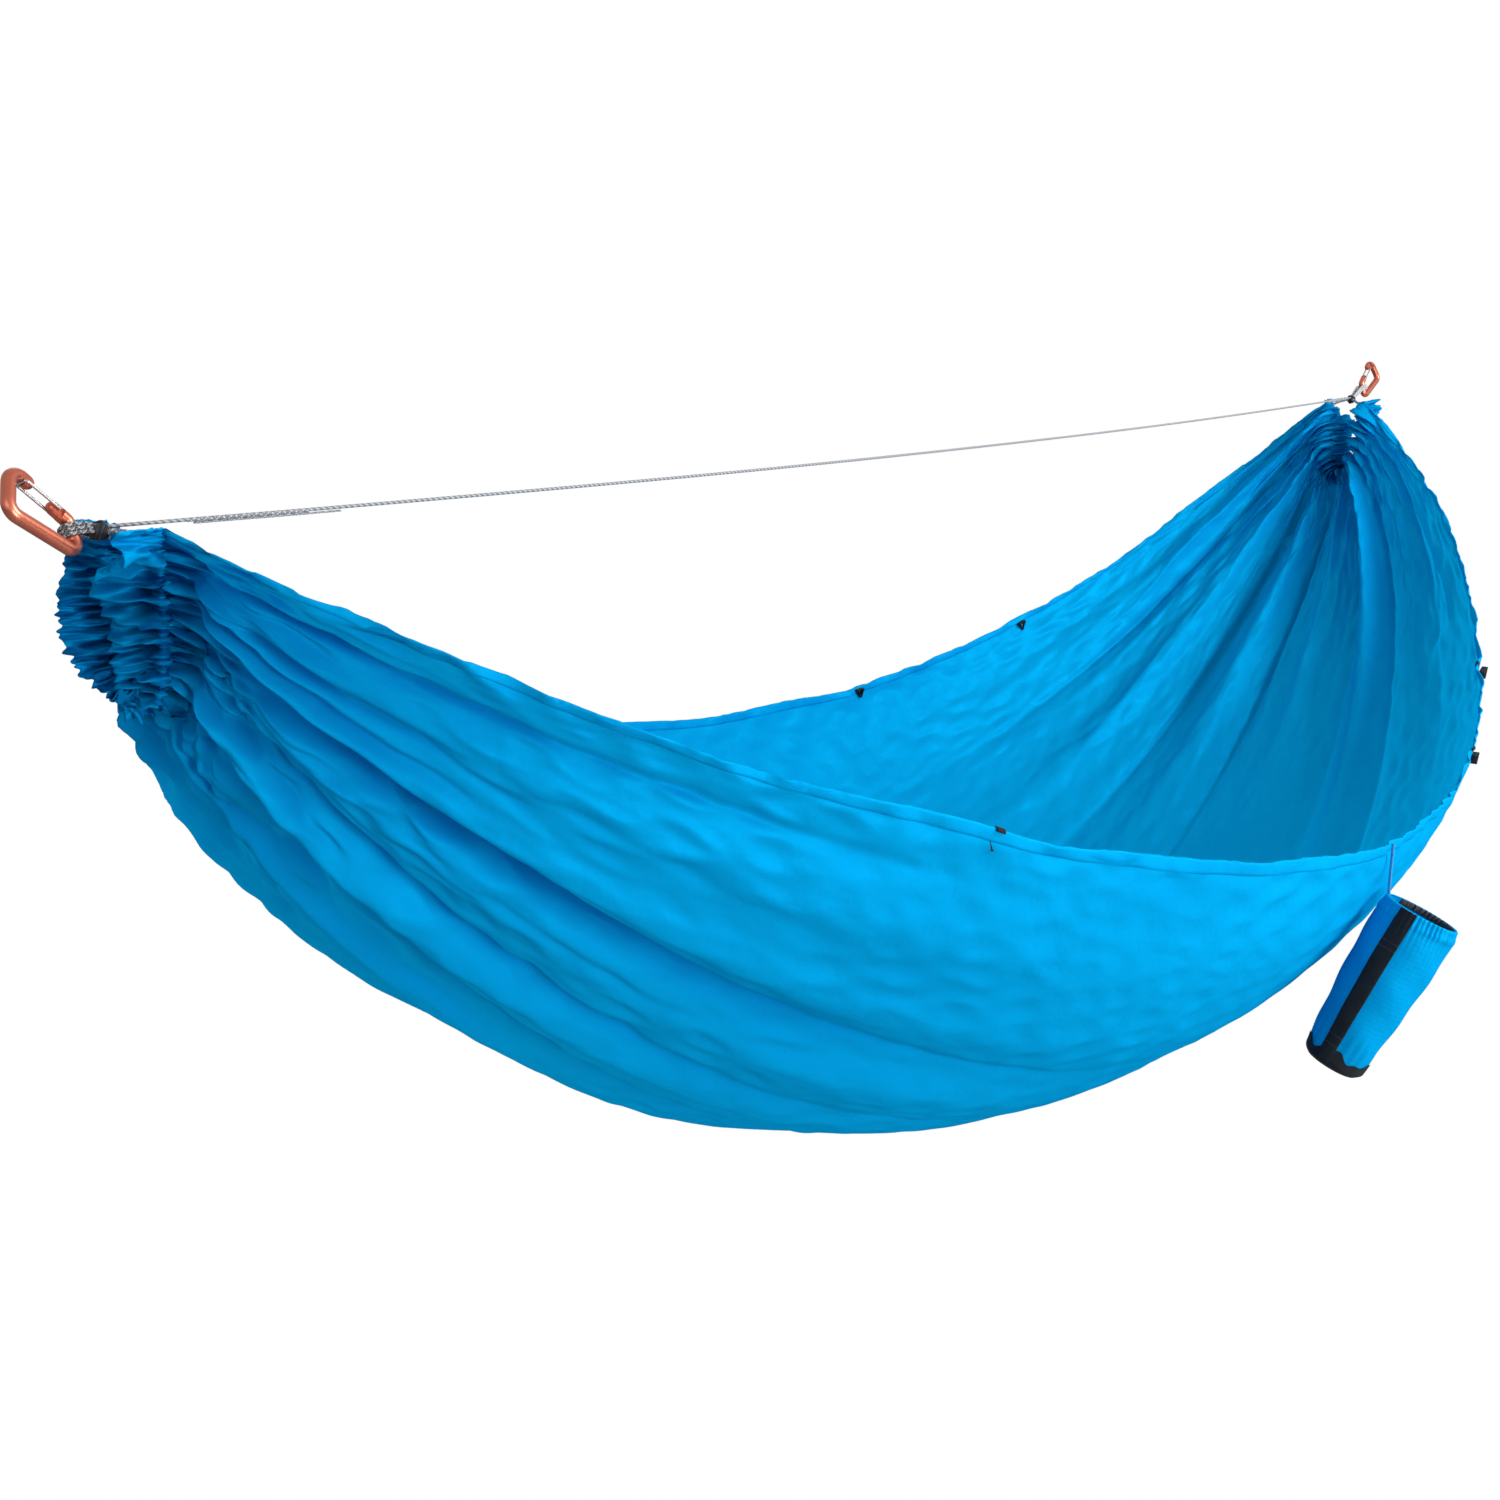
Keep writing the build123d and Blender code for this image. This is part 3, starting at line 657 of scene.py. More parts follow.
def build_cloth():
    columns, count, flap_rows = ((481, 470, 16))
    shares = np.linspace(0, 1, columns)
    base = bed_sections(row_places(count), shares)
    for end, near_x in ((0, LEFT_PINCH), (-1, RIGHT_PINCH)):
        shift = gathered_row(near_x, shares) - base[end]
        base += shift[None] * np.exp(-((row_places(count) - near_x) / 0.035) ** 2)[:, None, None]
    steps = np.linalg.norm(np.diff(base, axis=0), axis=2).mean(1)
    walked = np.concatenate([[0], np.cumsum(steps)])
    span = walked[-1]
    left, left_out = end_flap(base[0], -1, flap_rows, shares)
    right, right_out = end_flap(base[-1], 1, flap_rows, shares)
    full = np.concatenate([left[::-1], base, right])
    place = np.concatenate([-left_out[::-1], walked, span + right_out])
    reach = np.minimum(place, span - place)
    near_end = np.abs(reach)[:, None]
    out_of = normals(full)
    rim = np.minimum(shares, 1 - shares)[None]
    along, across = place[:, None], shares[None] * CLOTH_WIDTH

    gathered = gathers(shares, place, span)
    large = long_folds(shares, place, span)
    folds = gathered + large
    cord_wrap = np.exp(-(near_end / 0.0045) ** 2)
    frill = np.clip(-reach / FLAP, 0, 1)[:, None]
    flat_frill = np.where(place > 0.5 * span, 0.92, 0.84)[:, None]
    folds = folds * (1 - 0.93 * cord_wrap) * (1 - flat_frill * frill)
    calm = np.minimum(1, 0.02 + (rim / 0.045) ** 2)
    folds = folds * calm
    crumple = 0.0050 * rumple(along, across, 19, 0.045, 0.050, 10) * np.exp(-near_end / 0.05)
    more_at_left = np.where(place > 1, 1, 1.7)[:, None]
    folds += crumple * (1 - cord_wrap) * calm * more_at_left
    puckers = 2 * pi * shares[None] * 130 + 3 * rumple(along, across, 91, 0.05, 0.1)
    folds += 0.0012 * np.sin(puckers) * cord_wrap
    shape = full + out_of * folds[..., None]

    ends = np.exp(-near_end / 0.22)
    edges = np.exp(-rim / 0.020)
    sharp = 1 - np.abs(rumple(along, across, 5, 0.15, 0.09))
    fine = 1 - np.abs(rumple(along, across, 6, 0.055, 0.040))
    creases = (0.0050 * sharp * (0.30 + 0.8 * ends + 0.4 * edges)
               + 0.0022 * fine * (0.06 + 0.8 * ends + 0.5 * edges))
    shape = shape + out_of * creases[..., None] * (1 - cord_wrap)[..., None]
    shape[..., 2] += 0.0035 * (wobble(place, 61, 6, 0.9) * (near_end[:, 0] > 0.05))[:, None] * edges
    along_rest = np.linalg.norm(np.diff(shape, axis=0), axis=2) * (1.004 + 0.022 * edges + 0.016 * ends[1:])
    across_rest = np.linalg.norm(np.diff(shape, axis=1), axis=2) * (1.006 + 0.035 * ends)
    hold = (0.015 + 0.10 * cord_wrap + 0.18 * np.exp(-rim / 0.003))[..., None]
    fixed = near_end[:, 0] < 0.002
    x = shape + out_of * (0.0010 * rumple(along, across, 9, 0.02, 0.02, 12))[..., None]
    relax(x, shape, along_rest, across_rest, hold, fixed, 60, 0.02)
    # painted shade, kept in the fold attribute: the valleys of the long folds (fading towards the middle),
    # the packed gathers towards the ends and the cloth close by the gather cord are darker; at the right end
    # only along a slit in the middle
    inside = (place > 0.5 * span)[:, None]
    valley_shade = np.clip((np.where(inside, 1, -1) * large - 0.004) / 0.016, 0, 1)
    fold = valley_shade * np.clip(1.15 - near_end / 1.0, 0, 1)
    slit = np.where(inside, np.exp(-((shares[None] - 0.55) / 0.10) ** 2), 1)
    packed_gather_shade = np.clip(-gathered / 0.022, 0, 1) * np.exp(-near_end / 0.16) * slit
    cord_spine_shade = (0.60 + 0.35 * rumple(along, across, 17, 0.03, 0.04)) * np.exp(-(near_end / 0.022) ** 2) * slit
    fold = np.clip(np.maximum(np.maximum(np.where(inside, 0.50, 0.95) * fold, packed_gather_shade), cord_spine_shade), 0, 1)

    # the end hems: the cloth folds back round its cord and is sewn down inside
    channel = np.exp(-(near_end / 0.009) ** 2)
    gap = 0.0005 + 0.0058 * channel
    at_stitches = np.clip((CHANNEL - reach) / 0.010, 0.08, 1)[:, None]
    at_fold = np.clip((reach + FLAP) / 0.008, 0.10, 1)[:, None]
    gap = gap * at_stitches * at_fold
    hemmed = reach < CHANNEL
    inner = x - out_of * gap[..., None]
    x = x + out_of * np.where(hemmed[:, None], gap, 0)[..., None]
    left_rows = np.flatnonzero(hemmed & (place < 1.0))
    right_rows = np.flatnonzero(hemmed & (place > 1.0))
    rows = np.concatenate([inner[left_rows][::-1], x, inner[right_rows][::-1]])
    s = np.concatenate([-2 * FLAP - place[left_rows][::-1], place,
                        2 * (span + FLAP) - place[right_rows][::-1]])
    fold = np.concatenate([fold[left_rows][::-1], fold, fold[right_rows][::-1]])
    return rows, s, x, place, fold


cloth, cloth_s, outer, outer_s, cloth_fold_shade = build_cloth()
ROWS, COLUMNS = cloth.shape[:2]
cloth_v = np.linspace(0, CLOTH_WIDTH, COLUMNS)
cloth_uv = np.stack(np.broadcast_arrays(cloth_s[:, None], cloth_v[None]), -1).reshape(-1, 2)
bed = mesh_object("bed_cloth", cloth.reshape(-1, 3), grid_faces(ROWS, COLUMNS), "bed",
                  bed_material, cloth_uv)
# painted shade: the fold darkness goes onto the mesh for the bed's shader
painted_shade_attribute = bed.data.attributes.new("fold", "FLOAT", "POINT")
painted_shade_attribute.data.foreach_set("value", cloth_fold_shade.astype(np.float32).ravel())
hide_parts("bed_fabric", "left_sleeve", "right_sleeve")


def hem(name, near, node):
    """The rolled and stitched rim: a flat closed band along the cloth's edge."""
    order = outer if near else outer[:, ::-1]
    step = CLOTH_WIDTH / (COLUMNS - 1)
    inside = HEM_WIDTH / step
    k = int(inside)
    edge = order[:, 0]
    inner = order[:, k] * (1 - (inside - k)) + order[:, k + 1] * (inside - k)
    face = normals(order)[:, 1] * (1 if near else -1)
    front = ((1.00, 0.0003), (0.85, 0.0009), (0.5, 0.0010), (0.15, 0.0013), (-0.05, 0.0008))
    profile = front + tuple((share, -height) for share, height in front[::-1])
    ripple = 0.0009 * wobble(outer_s * 9, 11 if near else 12, 6) + 0.0005 * wobble(outer_s * 31, 13, 4)
    rings, uv = [], []
    for share, height in profile:
        rings.append(edge + (inner - edge) * share + face * (height + ripple * (1 - share))[:, None])
        uv.append(np.stack([outer_s, np.full(len(outer_s), abs(share) * HEM_WIDTH)], 1))
    verts = np.stack(rings, 1).reshape(-1, 3)
    uvs = np.stack(uv, 1).reshape(-1, 2)
    rows, around = len(outer_s), len(profile)
    faces = grid_faces(rows, around, wrap=True)
    faces.append(tuple(range(around))[::-1])
    faces.append(tuple(range((rows - 1) * around, rows * around)))
    piece = mesh_object(name, verts, faces, "bed", hem_material, uvs)
    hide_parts(node)
    return piece


near_rim = hem("near_rim_hem", True, "near_hem")
far_rim = hem("far_rim_hem", False, "far_hem")

# ---- carried-over metal
for side in ("left", "right"):
    for node, material in ((f"{side}_carabiner_body", copper), (f"{side}_gate", wire)):
        mesh = frame["nodes"][node].data
        mesh.materials.clear()
        mesh.materials.append(material)

# ---- ridgeline
LINE_START, LINE_END = (0.06987, 0.0, -0.02712), (2.76621, 0.0, -0.02307)
LINE_SAG = 0.015


def line_at(share):
    a, b = np.array(LINE_START), np.array(LINE_END)
    point = a + (b - a) * share
    point[2] -= 4 * LINE_SAG * share * (1 - share)
    return point


ridgeline = nurbs_curve("ridgeline_cord", [line_at(s) for s in (0.0, 0.15, 0.36, 0.62, 0.85, 1.0)])
ridgeline.data.bevel_depth = 0.0015
ridgeline.data.bevel_resolution = 3
ridgeline.data.use_fill_caps = True
ridgeline.data.materials.append(line_material())
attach(ridgeline, "bed")
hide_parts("ridgeline")


def line_stretch(first, last, drop=0.0, wave=0.0):
    shares = np.linspace(first, last, 40)
    line = np.array([line_at(s) for s in shares])
    line[:, 2] -= drop
    line[:, 1] += wave * np.sin(np.linspace(0, 2.5 * pi, 40))
    return line


def line_braid(name, node, first, last, radius, drop=0.0, wave=0.0, pitch=0.012):
    build = Build()
    line = line_stretch(first, last, drop, wave)
    taper = radius * np.clip(np.minimum(np.arange(40), np.arange(40)[::-1]) / 6, 0.55, 1)
    build.add(*tube(line, taper * 0.8, 10), 0)
    braid(build, line, radius, pitch, kinds=(0, 1, 0, 0))
    piece = build.piece(name, "bed", "grey_cord", STRANDS)
    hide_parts(node)


line_braid("ridgeline_buried_splice", "ridgeline_bury", 0.028, 0.072, 0.0018)
line_braid("ridgeline_free_tail", "ridgeline_tail", 0.03, 0.085, 0.0009, drop=0.0026, wave=0.0005,
           pitch=0.008)
line_braid("ridgeline_end_eye", "ridgeline_right_eye", 0.955, 0.99, 0.0026)

# ---- slings, knots and gather cords
BAR_RADIUS = 0.0055
WRAP_RADIUS = 0.0015
WRAP_STEP = 0.0034            # between the windings on a carabiner's bar
WHIPPING_TURNS = 8
HIDDEN_DEPTH = 0.010          # below the rims, the gather cord runs inside its hem


def joint(name):
    return next(j for j in frame["joints"] if j["name"] == name)


def middle(node):
    low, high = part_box(node)
    return np.array((low + high) / 2)


for side, way in (("left", 1), ("right", -1)):
    turn = joint(f"{side}_carabiner_turn")
    seat, axis = np.array(turn["pos_m"]), unit(np.array(turn["axis"]))
    knot = middle(f"{side}_knot")
    away = knot - seat
    away = unit(away - axis * np.dot(away, axis))
    across = np.cross(axis, away)
    r = BAR_RADIUS + WRAP_RADIUS + 0.0003
    build = Build()
    for offset in (-WRAP_STEP, 0.0, WRAP_STEP):
        at = seat + axis * offset
        start = knot + across * 0.0022 + axis * offset * 0.45
        end = knot - across * 0.0022 + axis * offset * 0.45
        route = [start, at + away * 1.9 * r + across * r * 0.8, at + across * r, at - away * r + across * r,
                 at - away * r - across * r, at - across * r, at + away * 1.9 * r - across * r * 0.8, end]
        kinds = (0, 1, 2, 0) if side == "left" else (1, 0, 1, 1)
        braid(build, route_line(route), WRAP_RADIUS, 0.0075, kinds=kinds)
    neck = seat + away * 0.009
    if side == "left":
        bundle = [neck - across * 0.003, neck + axis * 0.003, knot - away * 0.004]
        twist(build, route_line(bundle), 0.0032, 0.012, 3, 2)
    piece = build.piece(f"{side}_sling_wraps", "bed", "grey_cord", STRANDS)
    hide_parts(f"{side}_sling")

    low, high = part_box(f"{side}_knot")
    length = high.x - low.x
    whipping = Build()
    spine = knot + np.array([way, 0, 0]) * np.linspace(-0.5, 0.5, 24)[:, None] * length
    bulge = 0.0048 * np.sqrt(np.clip(1 - np.linspace(-0.96, 0.96, 24) ** 6, 0.15, 1))
    whipping.add(*tube(spine, bulge, 16), 0)
    angle = np.linspace(0, 2 * pi * WHIPPING_TURNS, WHIPPING_TURNS * 20)
    share = np.linspace(-0.42, 0.42, len(angle))
    coil = knot + np.stack([way * share * length, np.cos(angle) * 0.0056, np.sin(angle) * 0.0056], 1)
    whipping.add(*tube(coil, 0.00085, 8), 0)
    hitch_route = ((-0.004 * way, 0.006, 0.002), (0.0, 0.0072, 0.0045), (0.004 * way, 0.002, 0.0078),
                   (0.003 * way, -0.005, 0.0062), (-0.003 * way, -0.0072, 0.001),
                   (-0.004 * way, -0.004, -0.006), (0.002 * way, 0.003, -0.0072))
    hitch = route_line([knot + np.array(p) for p in hitch_route])
    whipping.add(*tube(hitch, 0.0012, 8), 0)
    piece = whipping.piece(f"{side}_whipping", "bed", "black_cord", [black_cord])
    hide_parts(f"{side}_knot")

    gather_x = LEFT_PINCH if side == "left" else RIGHT_PINCH
    half = [(0.034, -0.068), (0.027, -0.118), (0.011, -0.142)]
    turn_in = [(knot[0] + way * 0.004, -0.0032, knot[2]),
               (gather_x - way * 0.008, -0.022, RIM_TOP + 0.001),
               (gather_x, -0.031, RIM_TOP - 0.017)]
    down = [(gather_x, -y, RIM_TOP + z) for y, z in half]
    down += [(gather_x, y, RIM_TOP + z) for y, z in half[::-1]]
    route = turn_in + down + [(x, -y, z) for x, y, z in turn_in[::-1]]
    cords = Build()
    line, _ = even_line(route_line(route), 0.001)
    hidden = np.flatnonzero(line[:, 2] < RIM_TOP - HIDDEN_DEPTH)
    cords.add(*tube(line[hidden], 0.0014, 10), 2)
    for stretch in (line[:hidden[0] + 2], line[hidden[-1] - 1:]):
        braid(cords, stretch, 0.0023, 0.011, kinds=(0, 1, 0, 0))
    piece = cords.piece(f"{side}_gather_loop", "bed", "grey_cord", STRANDS)
    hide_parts(f"{side}_gather_cord")


# ---- tie-out loops
def ribbon(path, width_way, width, thick):
    """A flat webbing strip along a closed path: verts, faces and UVs in metres."""
    path = np.asarray(path)
    width_way = unit(np.asarray(width_way, float))
    along = unit(np.roll(path, -1, 0) - np.roll(path, 1, 0))
    out = np.cross(along, width_way)
    profile = ((-0.5, -0.32), (-0.46, -0.5), (0.46, -0.5), (0.5, -0.32),
               (0.5, 0.32), (0.46, 0.5), (-0.46, 0.5), (-0.5, 0.32))
    walked = np.concatenate([[0], np.cumsum(np.linalg.norm(np.diff(path, axis=0), axis=1))])
    verts = [path + width_way * a * width + out * b * thick for a, b in profile]
    uvs = [np.stack([walked, np.full(len(path), a * width)], 1) for a, b in profile]
    count, around = len(path), len(profile)
    faces = []
    for i in range(count):
        for j in range(around):
            k, n = (j + 1) % around, (i + 1) % count
            faces.append((i * around + j, i * around + k, n * around + k, n * around + j))
    return np.stack(verts, 1).reshape(-1, 3), faces, np.stack(uvs, 1).reshape(-1, 2)


def rounded(corners, radius, steps=6):
    """A closed outline with rounded corners."""
    corners = np.asarray(corners, float)
    points = []
    for before, here, after in zip(np.roll(corners, 1, 0), corners, np.roll(corners, -1, 0)):
        one, two = here + unit(before - here) * radius, here + unit(after - here) * radius
        for t in np.linspace(0, 1, steps):
            points.append((1 - t) ** 2 * one + 2 * t * (1 - t) * here + t * t * two)
    return np.array(points)


for number in range(1, 5):
    for rim in ("near", "far"):
        node = f"{rim}_tie_loop_{number}"
        low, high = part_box(node)
        co = np.array([v.co[:] for v in frame["nodes"][node].data.vertices])
        y = (low.y + high.y) / 2
        corners = []
        for x in (low.x, high.x):
            top = co[np.abs(co[:, 0] - x) < 0.0008][:, 2].max()
            corners.append((x + (0.0009 if x == low.x else -0.0009), y, top - 0.0009))
        corners.append(((low.x + high.x) / 2, y, low.z + 0.001))
        path = rounded(corners, 0.0022)
        verts, faces, uvs = ribbon(path, (0, 1, 0), high.y - low.y, 0.0014)
        piece = mesh_object(f"{rim}_webbing_loop_{number}", verts, faces, "bed",
                            black_web, uvs)
        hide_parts(node)


TAB_HALF_WIDTH, TAB_THICK = 0.0055, 0.0008
TAB_LINES = 9
TAB_FOLD = ((0.008, -0.0022), (0.004, -0.0024), (-0.0008, -0.0018), (-0.0017, 0.0), (-0.0008, 0.0018),
            (0.0012, 0.0022), (0.0022, 0.0021))     # down from the rim's edge, and out of its face


def tab(name, number):
    """The sewn end of a loop, folded over the rim."""
    low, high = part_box(f"near_tie_loop_{number}")
    centre = np.array([(low.x + high.x) / 2, 0, 0])
    row = int(np.argmin(np.abs(outer[:, 0, 0] - centre[0])))
    edge = outer[row, 0]
    along = unit(outer[row + 2, 0] - outer[row - 2, 0])
    face = normals(outer)[row, 1]
    down = unit(outer[row, 4] - outer[row, 0])
    arc = [edge + down * d + face * f for d, f in TAB_FOLD]
    arc, _ = even_line(np.array(arc), 0.0012)
    verts, uvs = [], []
    for shift in (0.0, TAB_THICK):
        for t in np.linspace(-1, 1, TAB_LINES):
            verts.extend(arc + along * t * TAB_HALF_WIDTH + unit(arc - edge - down * 0.003) * shift)
            uvs.extend([(0.0012 * k, t * TAB_HALF_WIDTH) for k in range(len(arc))])
    n = len(arc)
    skin = TAB_LINES * n
    faces = grid_faces(TAB_LINES, n) + [f[::-1] for f in grid_faces(TAB_LINES, n, offset=skin)]
    ring = list(range(n)) + [r * n + n - 1 for r in range(1, TAB_LINES)]
    ring += [(TAB_LINES - 1) * n + i for i in range(n - 2, -1, -1)]
    ring += [r * n for r in range(TAB_LINES - 2, 0, -1)]
    for a, b in zip(ring, ring[1:] + ring[:1]):
        faces.append((b, a, a + skin, b + skin))
    return mesh_object(name, verts, faces, "bed", black_web, uvs)


for number in (1, 3, 4):
    tab(f"near_loop_tab_{number}", number)

# ---- stuff sack
TETHER_TOP = np.array(joint("sack_tether_swing")["pos_m"])
TETHER_FOOT = np.array(joint("sack_swing")["pos_m"])
tether_route = [TETHER_TOP, TETHER_TOP + (0.0015, 0.0005, -0.022),
                TETHER_FOOT + (-0.001, 0, 0.021), TETHER_FOOT]
tether_line = route_line(tether_route)
tether_build = Build()
twist(tether_build, tether_line, 0.002, 0.011, 3)
tether = tether_build.piece("sack_tether_cord", "tether", "blue_cord", [blue_cord])
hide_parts("sack_tether")

SACK_TILT = math.radians(26.0)
HEADING = np.array([0.608, -0.794, 0.0])
SACK_LENGTH, MOUTH_R, BELLY_R, FOOT_R = 0.220, 0.048, 0.050, 0.038
MOUTH_HEM = 0.018
UP = np.array([0.0, 0.0, 1.0])
sack_down = -UP * math.cos(SACK_TILT) - HEADING * math.sin(SACK_TILT)
sack_across = HEADING * math.cos(SACK_TILT) - UP * math.sin(SACK_TILT)
sack_side = np.cross(sack_down, sack_across)
sack_mouth = TETHER_FOOT + sack_across * (MOUTH_R + 0.0002) - UP * 0.003


def sack_radius(depth):
    share = depth / SACK_LENGTH
    top = MOUTH_R + (BELLY_R - MOUTH_R) * np.sin(np.clip(share / 0.25, 0, 1) * pi / 2)
    fall = np.clip((share - 0.25) / 0.75, 0, 1)
    return np.where(share < 0.25, top, BELLY_R - (BELLY_R - FOOT_R) * fall ** 1.6)


def on_sack(depth, radius, angle):
    """Points of the sack, from depth below its mouth, radius and angle."""
    return (sack_mouth + np.asarray(depth)[..., None] * sack_down
            + (radius * np.cos(angle))[..., None] * sack_across
            + (radius * np.sin(angle))[..., None] * sack_side)


def sack_skin(depths, offset, columns=240, first=0.0, last=2 * pi):
    """Points, faces and UVs of a skin round the sack; offset is a function of depth and angle."""
    whole = last - first >= 2 * pi - 1e-6
    angle = np.linspace(first, last, columns, endpoint=not whole)
    d, a = np.meshgrid(depths, angle, indexing="ij")
    radius = sack_radius(d) + offset(d, a)
    verts = on_sack(d, radius, a)
    uvs = np.stack([a * MOUTH_R, d], -1)
    return verts.reshape(-1, 3), grid_faces(len(depths), columns, wrap=whole), uvs.reshape(-1, 2), columns


def shirring(d, a):
    """Fine gathers at the elastic, which fade down the wall into soft dents."""
    near = np.exp(-np.maximum(d - 0.012, 0) / 0.016)
    ruffle = np.abs(np.sin(21 * a + 1.4 * np.sin(3 * a + 1) + 9 * d / SACK_LENGTH)) ** 0.8 - 0.6
    second = np.sin(47 * a + 2.0 * np.sin(5 * a)) * 0.25
    dents = np.sin(3 * a + 11 * d / SACK_LENGTH + 1.0) * np.sin(9 * d / SACK_LENGTH + 0.5)
    long = np.sin(2 * a + 2.2 + 2.0 * d / SACK_LENGTH)
    pinch = np.sin(17 * a + 2 * np.sin(4 * a)) * np.exp(-((d - 0.185) / 0.018) ** 2)
    return (0.0020 * near * (ruffle + second) - 0.0026 * np.exp(-((d - 0.006) / 0.007) ** 2)
            + 0.0016 * dents * (1 - near) + 0.0016 * long * (1 - near) + 0.0006 * pinch)


def closed_skin(name, depths, offset, thick, slot, material, columns=240, first=0.0, last=2 * pi):
    """Two skins, thick apart, joined at their edges."""
    skin = Build()
    v, f, uv, n = sack_skin(depths, offset, columns, first, last)
    skin.add(v, f, uvs=uv)
    v, f, uv, n = sack_skin(depths, lambda d, a: offset(d, a) - thick, columns, first, last)
    base = skin.add(v, f, uvs=uv, flip=True)
    whole = last - first >= 2 * pi - 1e-6
    rows = len(depths)
    low = (rows - 1) * n
    edges = []
    for j in range(n if whole else n - 1):
        k = (j + 1) % n
        edges.append((k, j, base + j, base + k))
        edges.append((low + j, low + k, base + low + k, base + low + j))
    if not whole:
        for i in range(rows - 1):
            edges.append((i * n, (i + 1) * n, base + (i + 1) * n, base + i * n))
            here, after = i * n + n - 1, (i + 1) * n + n - 1
            edges.append((after, here, base + here, base + after))
    skin.faces.extend(edges)
    skin.kinds.extend([0] * len(edges))
    return skin.piece(name, "sack", slot, material)


wall = closed_skin("sack_wall", np.linspace(MOUTH_HEM * 0.8, SACK_LENGTH - 0.008, 110), shirring, 0.0007,
                   "blue_nylon", sack_material)
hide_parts("sack_shell")


def hem_shape(d, a):
    roll = 0.0012 * np.cos((d - 0.001) / 0.0165 * pi - pi / 2)
    lip = -0.0015 * np.exp(-d / 0.0012)
    return shirring(d, a) + roll + lip + 0.0004


mouth_hem = closed_skin("sack_mouth_frill", np.linspace(0.0, MOUTH_HEM, 34), hem_shape, 0.0030, "blue_nylon",
                        sack_material, columns=360)
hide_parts("sack_mouth_hem")


def elastic_shape(d, a):
    beads = np.abs(np.sin(34 * a + 1.2 * np.sin(4 * a)))
    return shirring(d, a) - 0.0034 - 0.0009 * beads


elastic = closed_skin("sack_elastic", np.linspace(0.0006, 0.0080, 16), elastic_shape, 0.0014, "black_cord",
                      black_cord, columns=260, first=math.radians(255.0), last=math.radians(385.0))
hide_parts("sack_mouth_elastic")
STRAP_MIDDLE = math.radians(133.0)
STRAP_WIDTH = 0.022
strap_half = STRAP_WIDTH / 2 / BELLY_R


def strap_shape(d, a):
    edge = np.abs(a - STRAP_MIDDLE) / strap_half
    return shirring(d, a) * 0.4 + 0.0022 + 0.0010 * np.exp(-d / 0.02) - 0.0005 * edge ** 6


strap = closed_skin("sack_webbing_strap", np.linspace(0.0005, SACK_LENGTH - 0.006, 120), strap_shape, 0.0013,
                    "black_webbing", black_web, columns=24, first=STRAP_MIDDLE - strap_half,
                    last=STRAP_MIDDLE + strap_half)
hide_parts("sack_strap")

stitches = Build()
for depth in (0.044, 0.0525, 0.178, 0.190):
    for k in range(9):
        a = STRAP_MIDDLE + strap_half * (k - 4) / 4.6
        r = float(sack_radius(np.array(depth)) + strap_shape(np.array(depth), np.array(a)) + 0.0002)
        at = on_sack(depth, r, a)
        tangent = -math.sin(a) * sack_across + math.cos(a) * sack_side
        line = at + tangent * np.linspace(-0.0009, 0.0009, 4)[:, None]
        stitches.add(*tube(line, 0.00022, 6), 0)
stitches.piece("sack_strap_stitches", "sack", "black_cord", [dark_strand])

foot = Build()
columns = 180
angle = np.linspace(0, 2 * pi, columns, endpoint=False)
wave = 0.0042 * np.sin(5 * angle + 0.6) + 0.0022 * np.sin(11 * angle + 2.0)
rings, uvs = [], []
for share in np.linspace(0, 1, 26):
    depth = (SACK_LENGTH - 0.021 + wave) * (1 - share) + (SACK_LENGTH - 0.0005) * share
    squeeze = np.where(share < 0.55, 0.0, ((share - 0.55) / 0.45)) ** 2.2
    radius = (sack_radius(depth) + shirring(depth, angle) + 0.0013) * (1 - 0.16 * squeeze)
    rings.append(on_sack(depth, radius, angle))
    uvs.append(np.stack([angle * FOOT_R, np.full(columns, share * 0.02)], 1))
for share in (0.75, 0.5, 0.25, 0.05):
    dip = 0.0012 * (1 - share)
    radius = (FOOT_R * 0.86) * share * np.ones(columns)
    rings.append(on_sack(SACK_LENGTH - dip, radius, angle))
    uvs.append(np.stack([radius * np.cos(angle), radius * np.sin(angle)], 1))
verts = np.concatenate(rings)
faces = grid_faces(len(rings), columns, wrap=True)
faces.append(tuple(range((len(rings) - 1) * columns, len(rings) * columns)))
foot.add(verts, faces, uvs=np.concatenate(uvs))
base = foot.piece("sack_foot_cap", "sack", "black_webbing", black_web)
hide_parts("sack_base")

# ---- camera, light and floor
CAMERA_LENS = 43.0
CAMERA_PLACE = (-0.709, -1.214, 0.130)
CAMERA_DOWN, CAMERA_ROLL, CAMERA_HEADING = 13.67, -0.12, -52.51       # degrees

camera_data = bpy.data.cameras.new("camera")
camera_data.lens = CAMERA_LENS
camera_data.sensor_width = 36.0
camera_data.clip_end = 50.0
camera = placed("camera", camera_data)
camera.location = CAMERA_PLACE
camera.rotation_euler = [math.radians(a) for a in (90 - CAMERA_DOWN, CAMERA_ROLL, CAMERA_HEADING)]
bpy.context.scene.camera = camera


def area_light(name, place, target, size, power):
    data = bpy.data.lights.new(name, "AREA")
    data.shape = "DISK"
    data.size = size
    data.energy = power
    lamp = placed(name, data)
    lamp.location = place
    lamp.rotation_euler = (Vector(target) - Vector(place)).to_track_quat("-Z", "Y").to_euler()


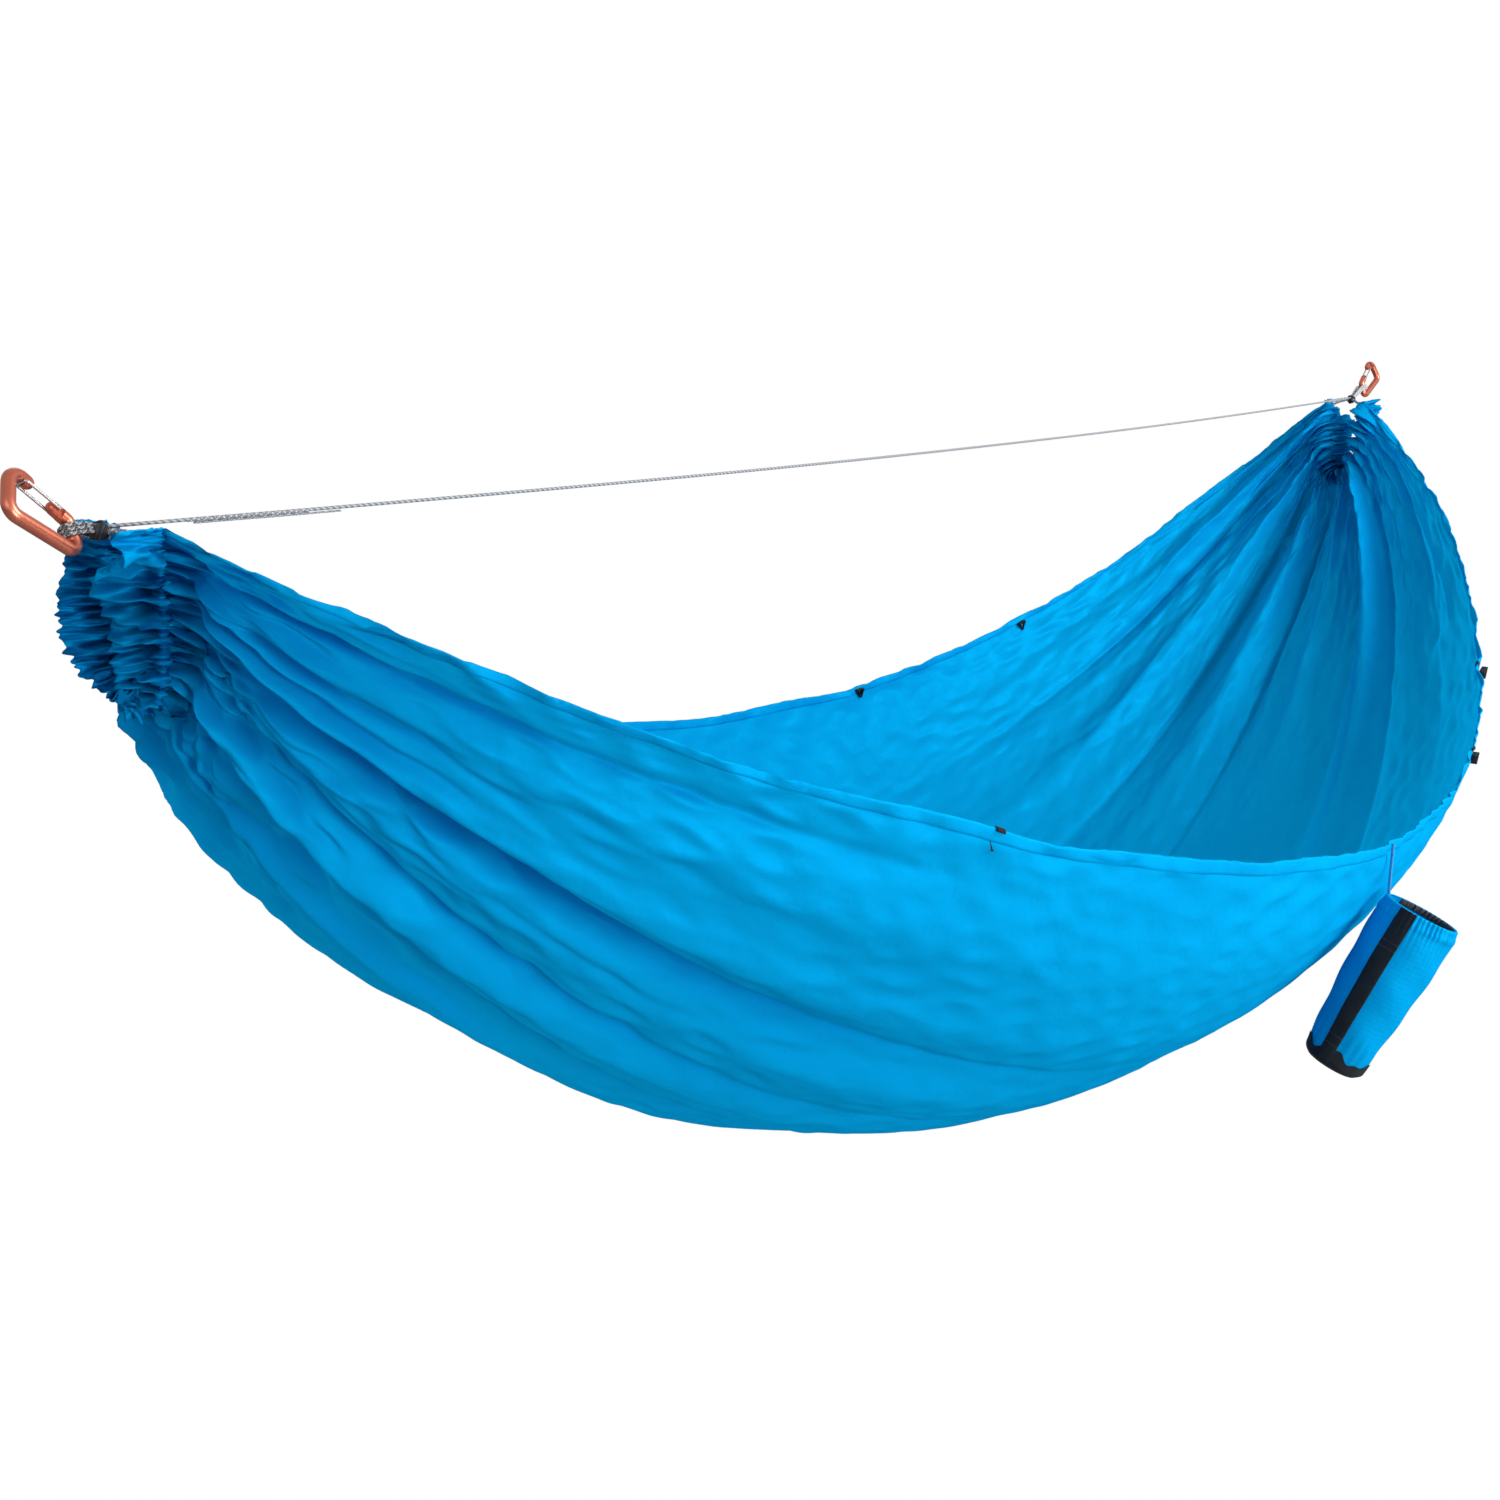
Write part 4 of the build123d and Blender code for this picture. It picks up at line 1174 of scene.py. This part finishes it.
MIDDLE = (1.4, 0.0, -0.5)
for lamp_name, lamp_place, lamp_size, lamp_power in (
    ("key", (3.2, -3.5, 1.7), 1.7, 165),
    ("front", (0.3, -4.2, -0.5), 2.6, 124),
    ("fill", (-2.4, -1.4, 1.6), 2.4, 16),
    ("back", (2.4, 3.2, 1.8), 2.6, 10),
):
    area_light(lamp_name, lamp_place, MIDDLE, lamp_size, lamp_power)


def seen_and_lit(tree, lit, seen, output):
    """One shader for what the camera sees of the studio, another for the light it gives."""
    mix = tree.nodes.new("ShaderNodeMixShader")
    path = tree.nodes.new("ShaderNodeLightPath")
    for source, target in ((path.outputs["Is Camera Ray"], mix.inputs[0]), (lit.outputs[0], mix.inputs[1]),
                           (seen.outputs[0], mix.inputs[2]), (mix.outputs[0], output)):
        tree.links.new(source, target)


# the studio: white where the camera sees it, and a softer, slightly cool light on everything else
world = bpy.data.worlds.new("studio")
world.use_nodes = True
nodes = world.node_tree.nodes
seen = nodes["Background"]
lit = nodes.new("ShaderNodeBackground")
for shader, colour, strength in ((seen, (1.0, 1.0, 1.0, 1.0), 1.0), (lit, (0.97, 0.985, 1.0, 1.0), 0.56)):
    shader.inputs["Color"].default_value = colour
    shader.inputs["Strength"].default_value = strength
seen_and_lit(world.node_tree, lit, seen, nodes["World Output"].inputs["Surface"])
bpy.context.scene.world = world
bpy.context.scene.view_settings.view_transform = "Standard"

FLOOR_Z = -1.55
FLOOR_REACH = 40.0
floor_mesh = bpy.data.meshes.new("floor")
floor_corners = [(x * FLOOR_REACH, y * FLOOR_REACH, FLOOR_Z) for x, y in ((-1, -1), (1, -1), (1, 1), (-1, 1))]
floor_mesh.from_pydata(floor_corners, [], [(0, 1, 2, 3)])
floor = placed("floor", floor_mesh)
pale = Shader("pale_floor")
pale.set(Base_Color=(0.30, 0.30, 0.30, 1.0), Roughness=0.9)
speckle = pale.noise(2.0, 3.0, pale.solid)
pale.link(pale.ramp(speckle, ((0.2, (0.28,) * 3), (0.8, (0.32,) * 3))), pale.main.inputs["Base Color"])
white = pale.node("ShaderNodeEmission", Color=(1.0, 1.0, 1.0, 1.0), Strength=1.0)
seen_and_lit(pale.tree, pale.main, white, pale.output.inputs["Surface"])
floor_mesh.materials.append(pale.material)
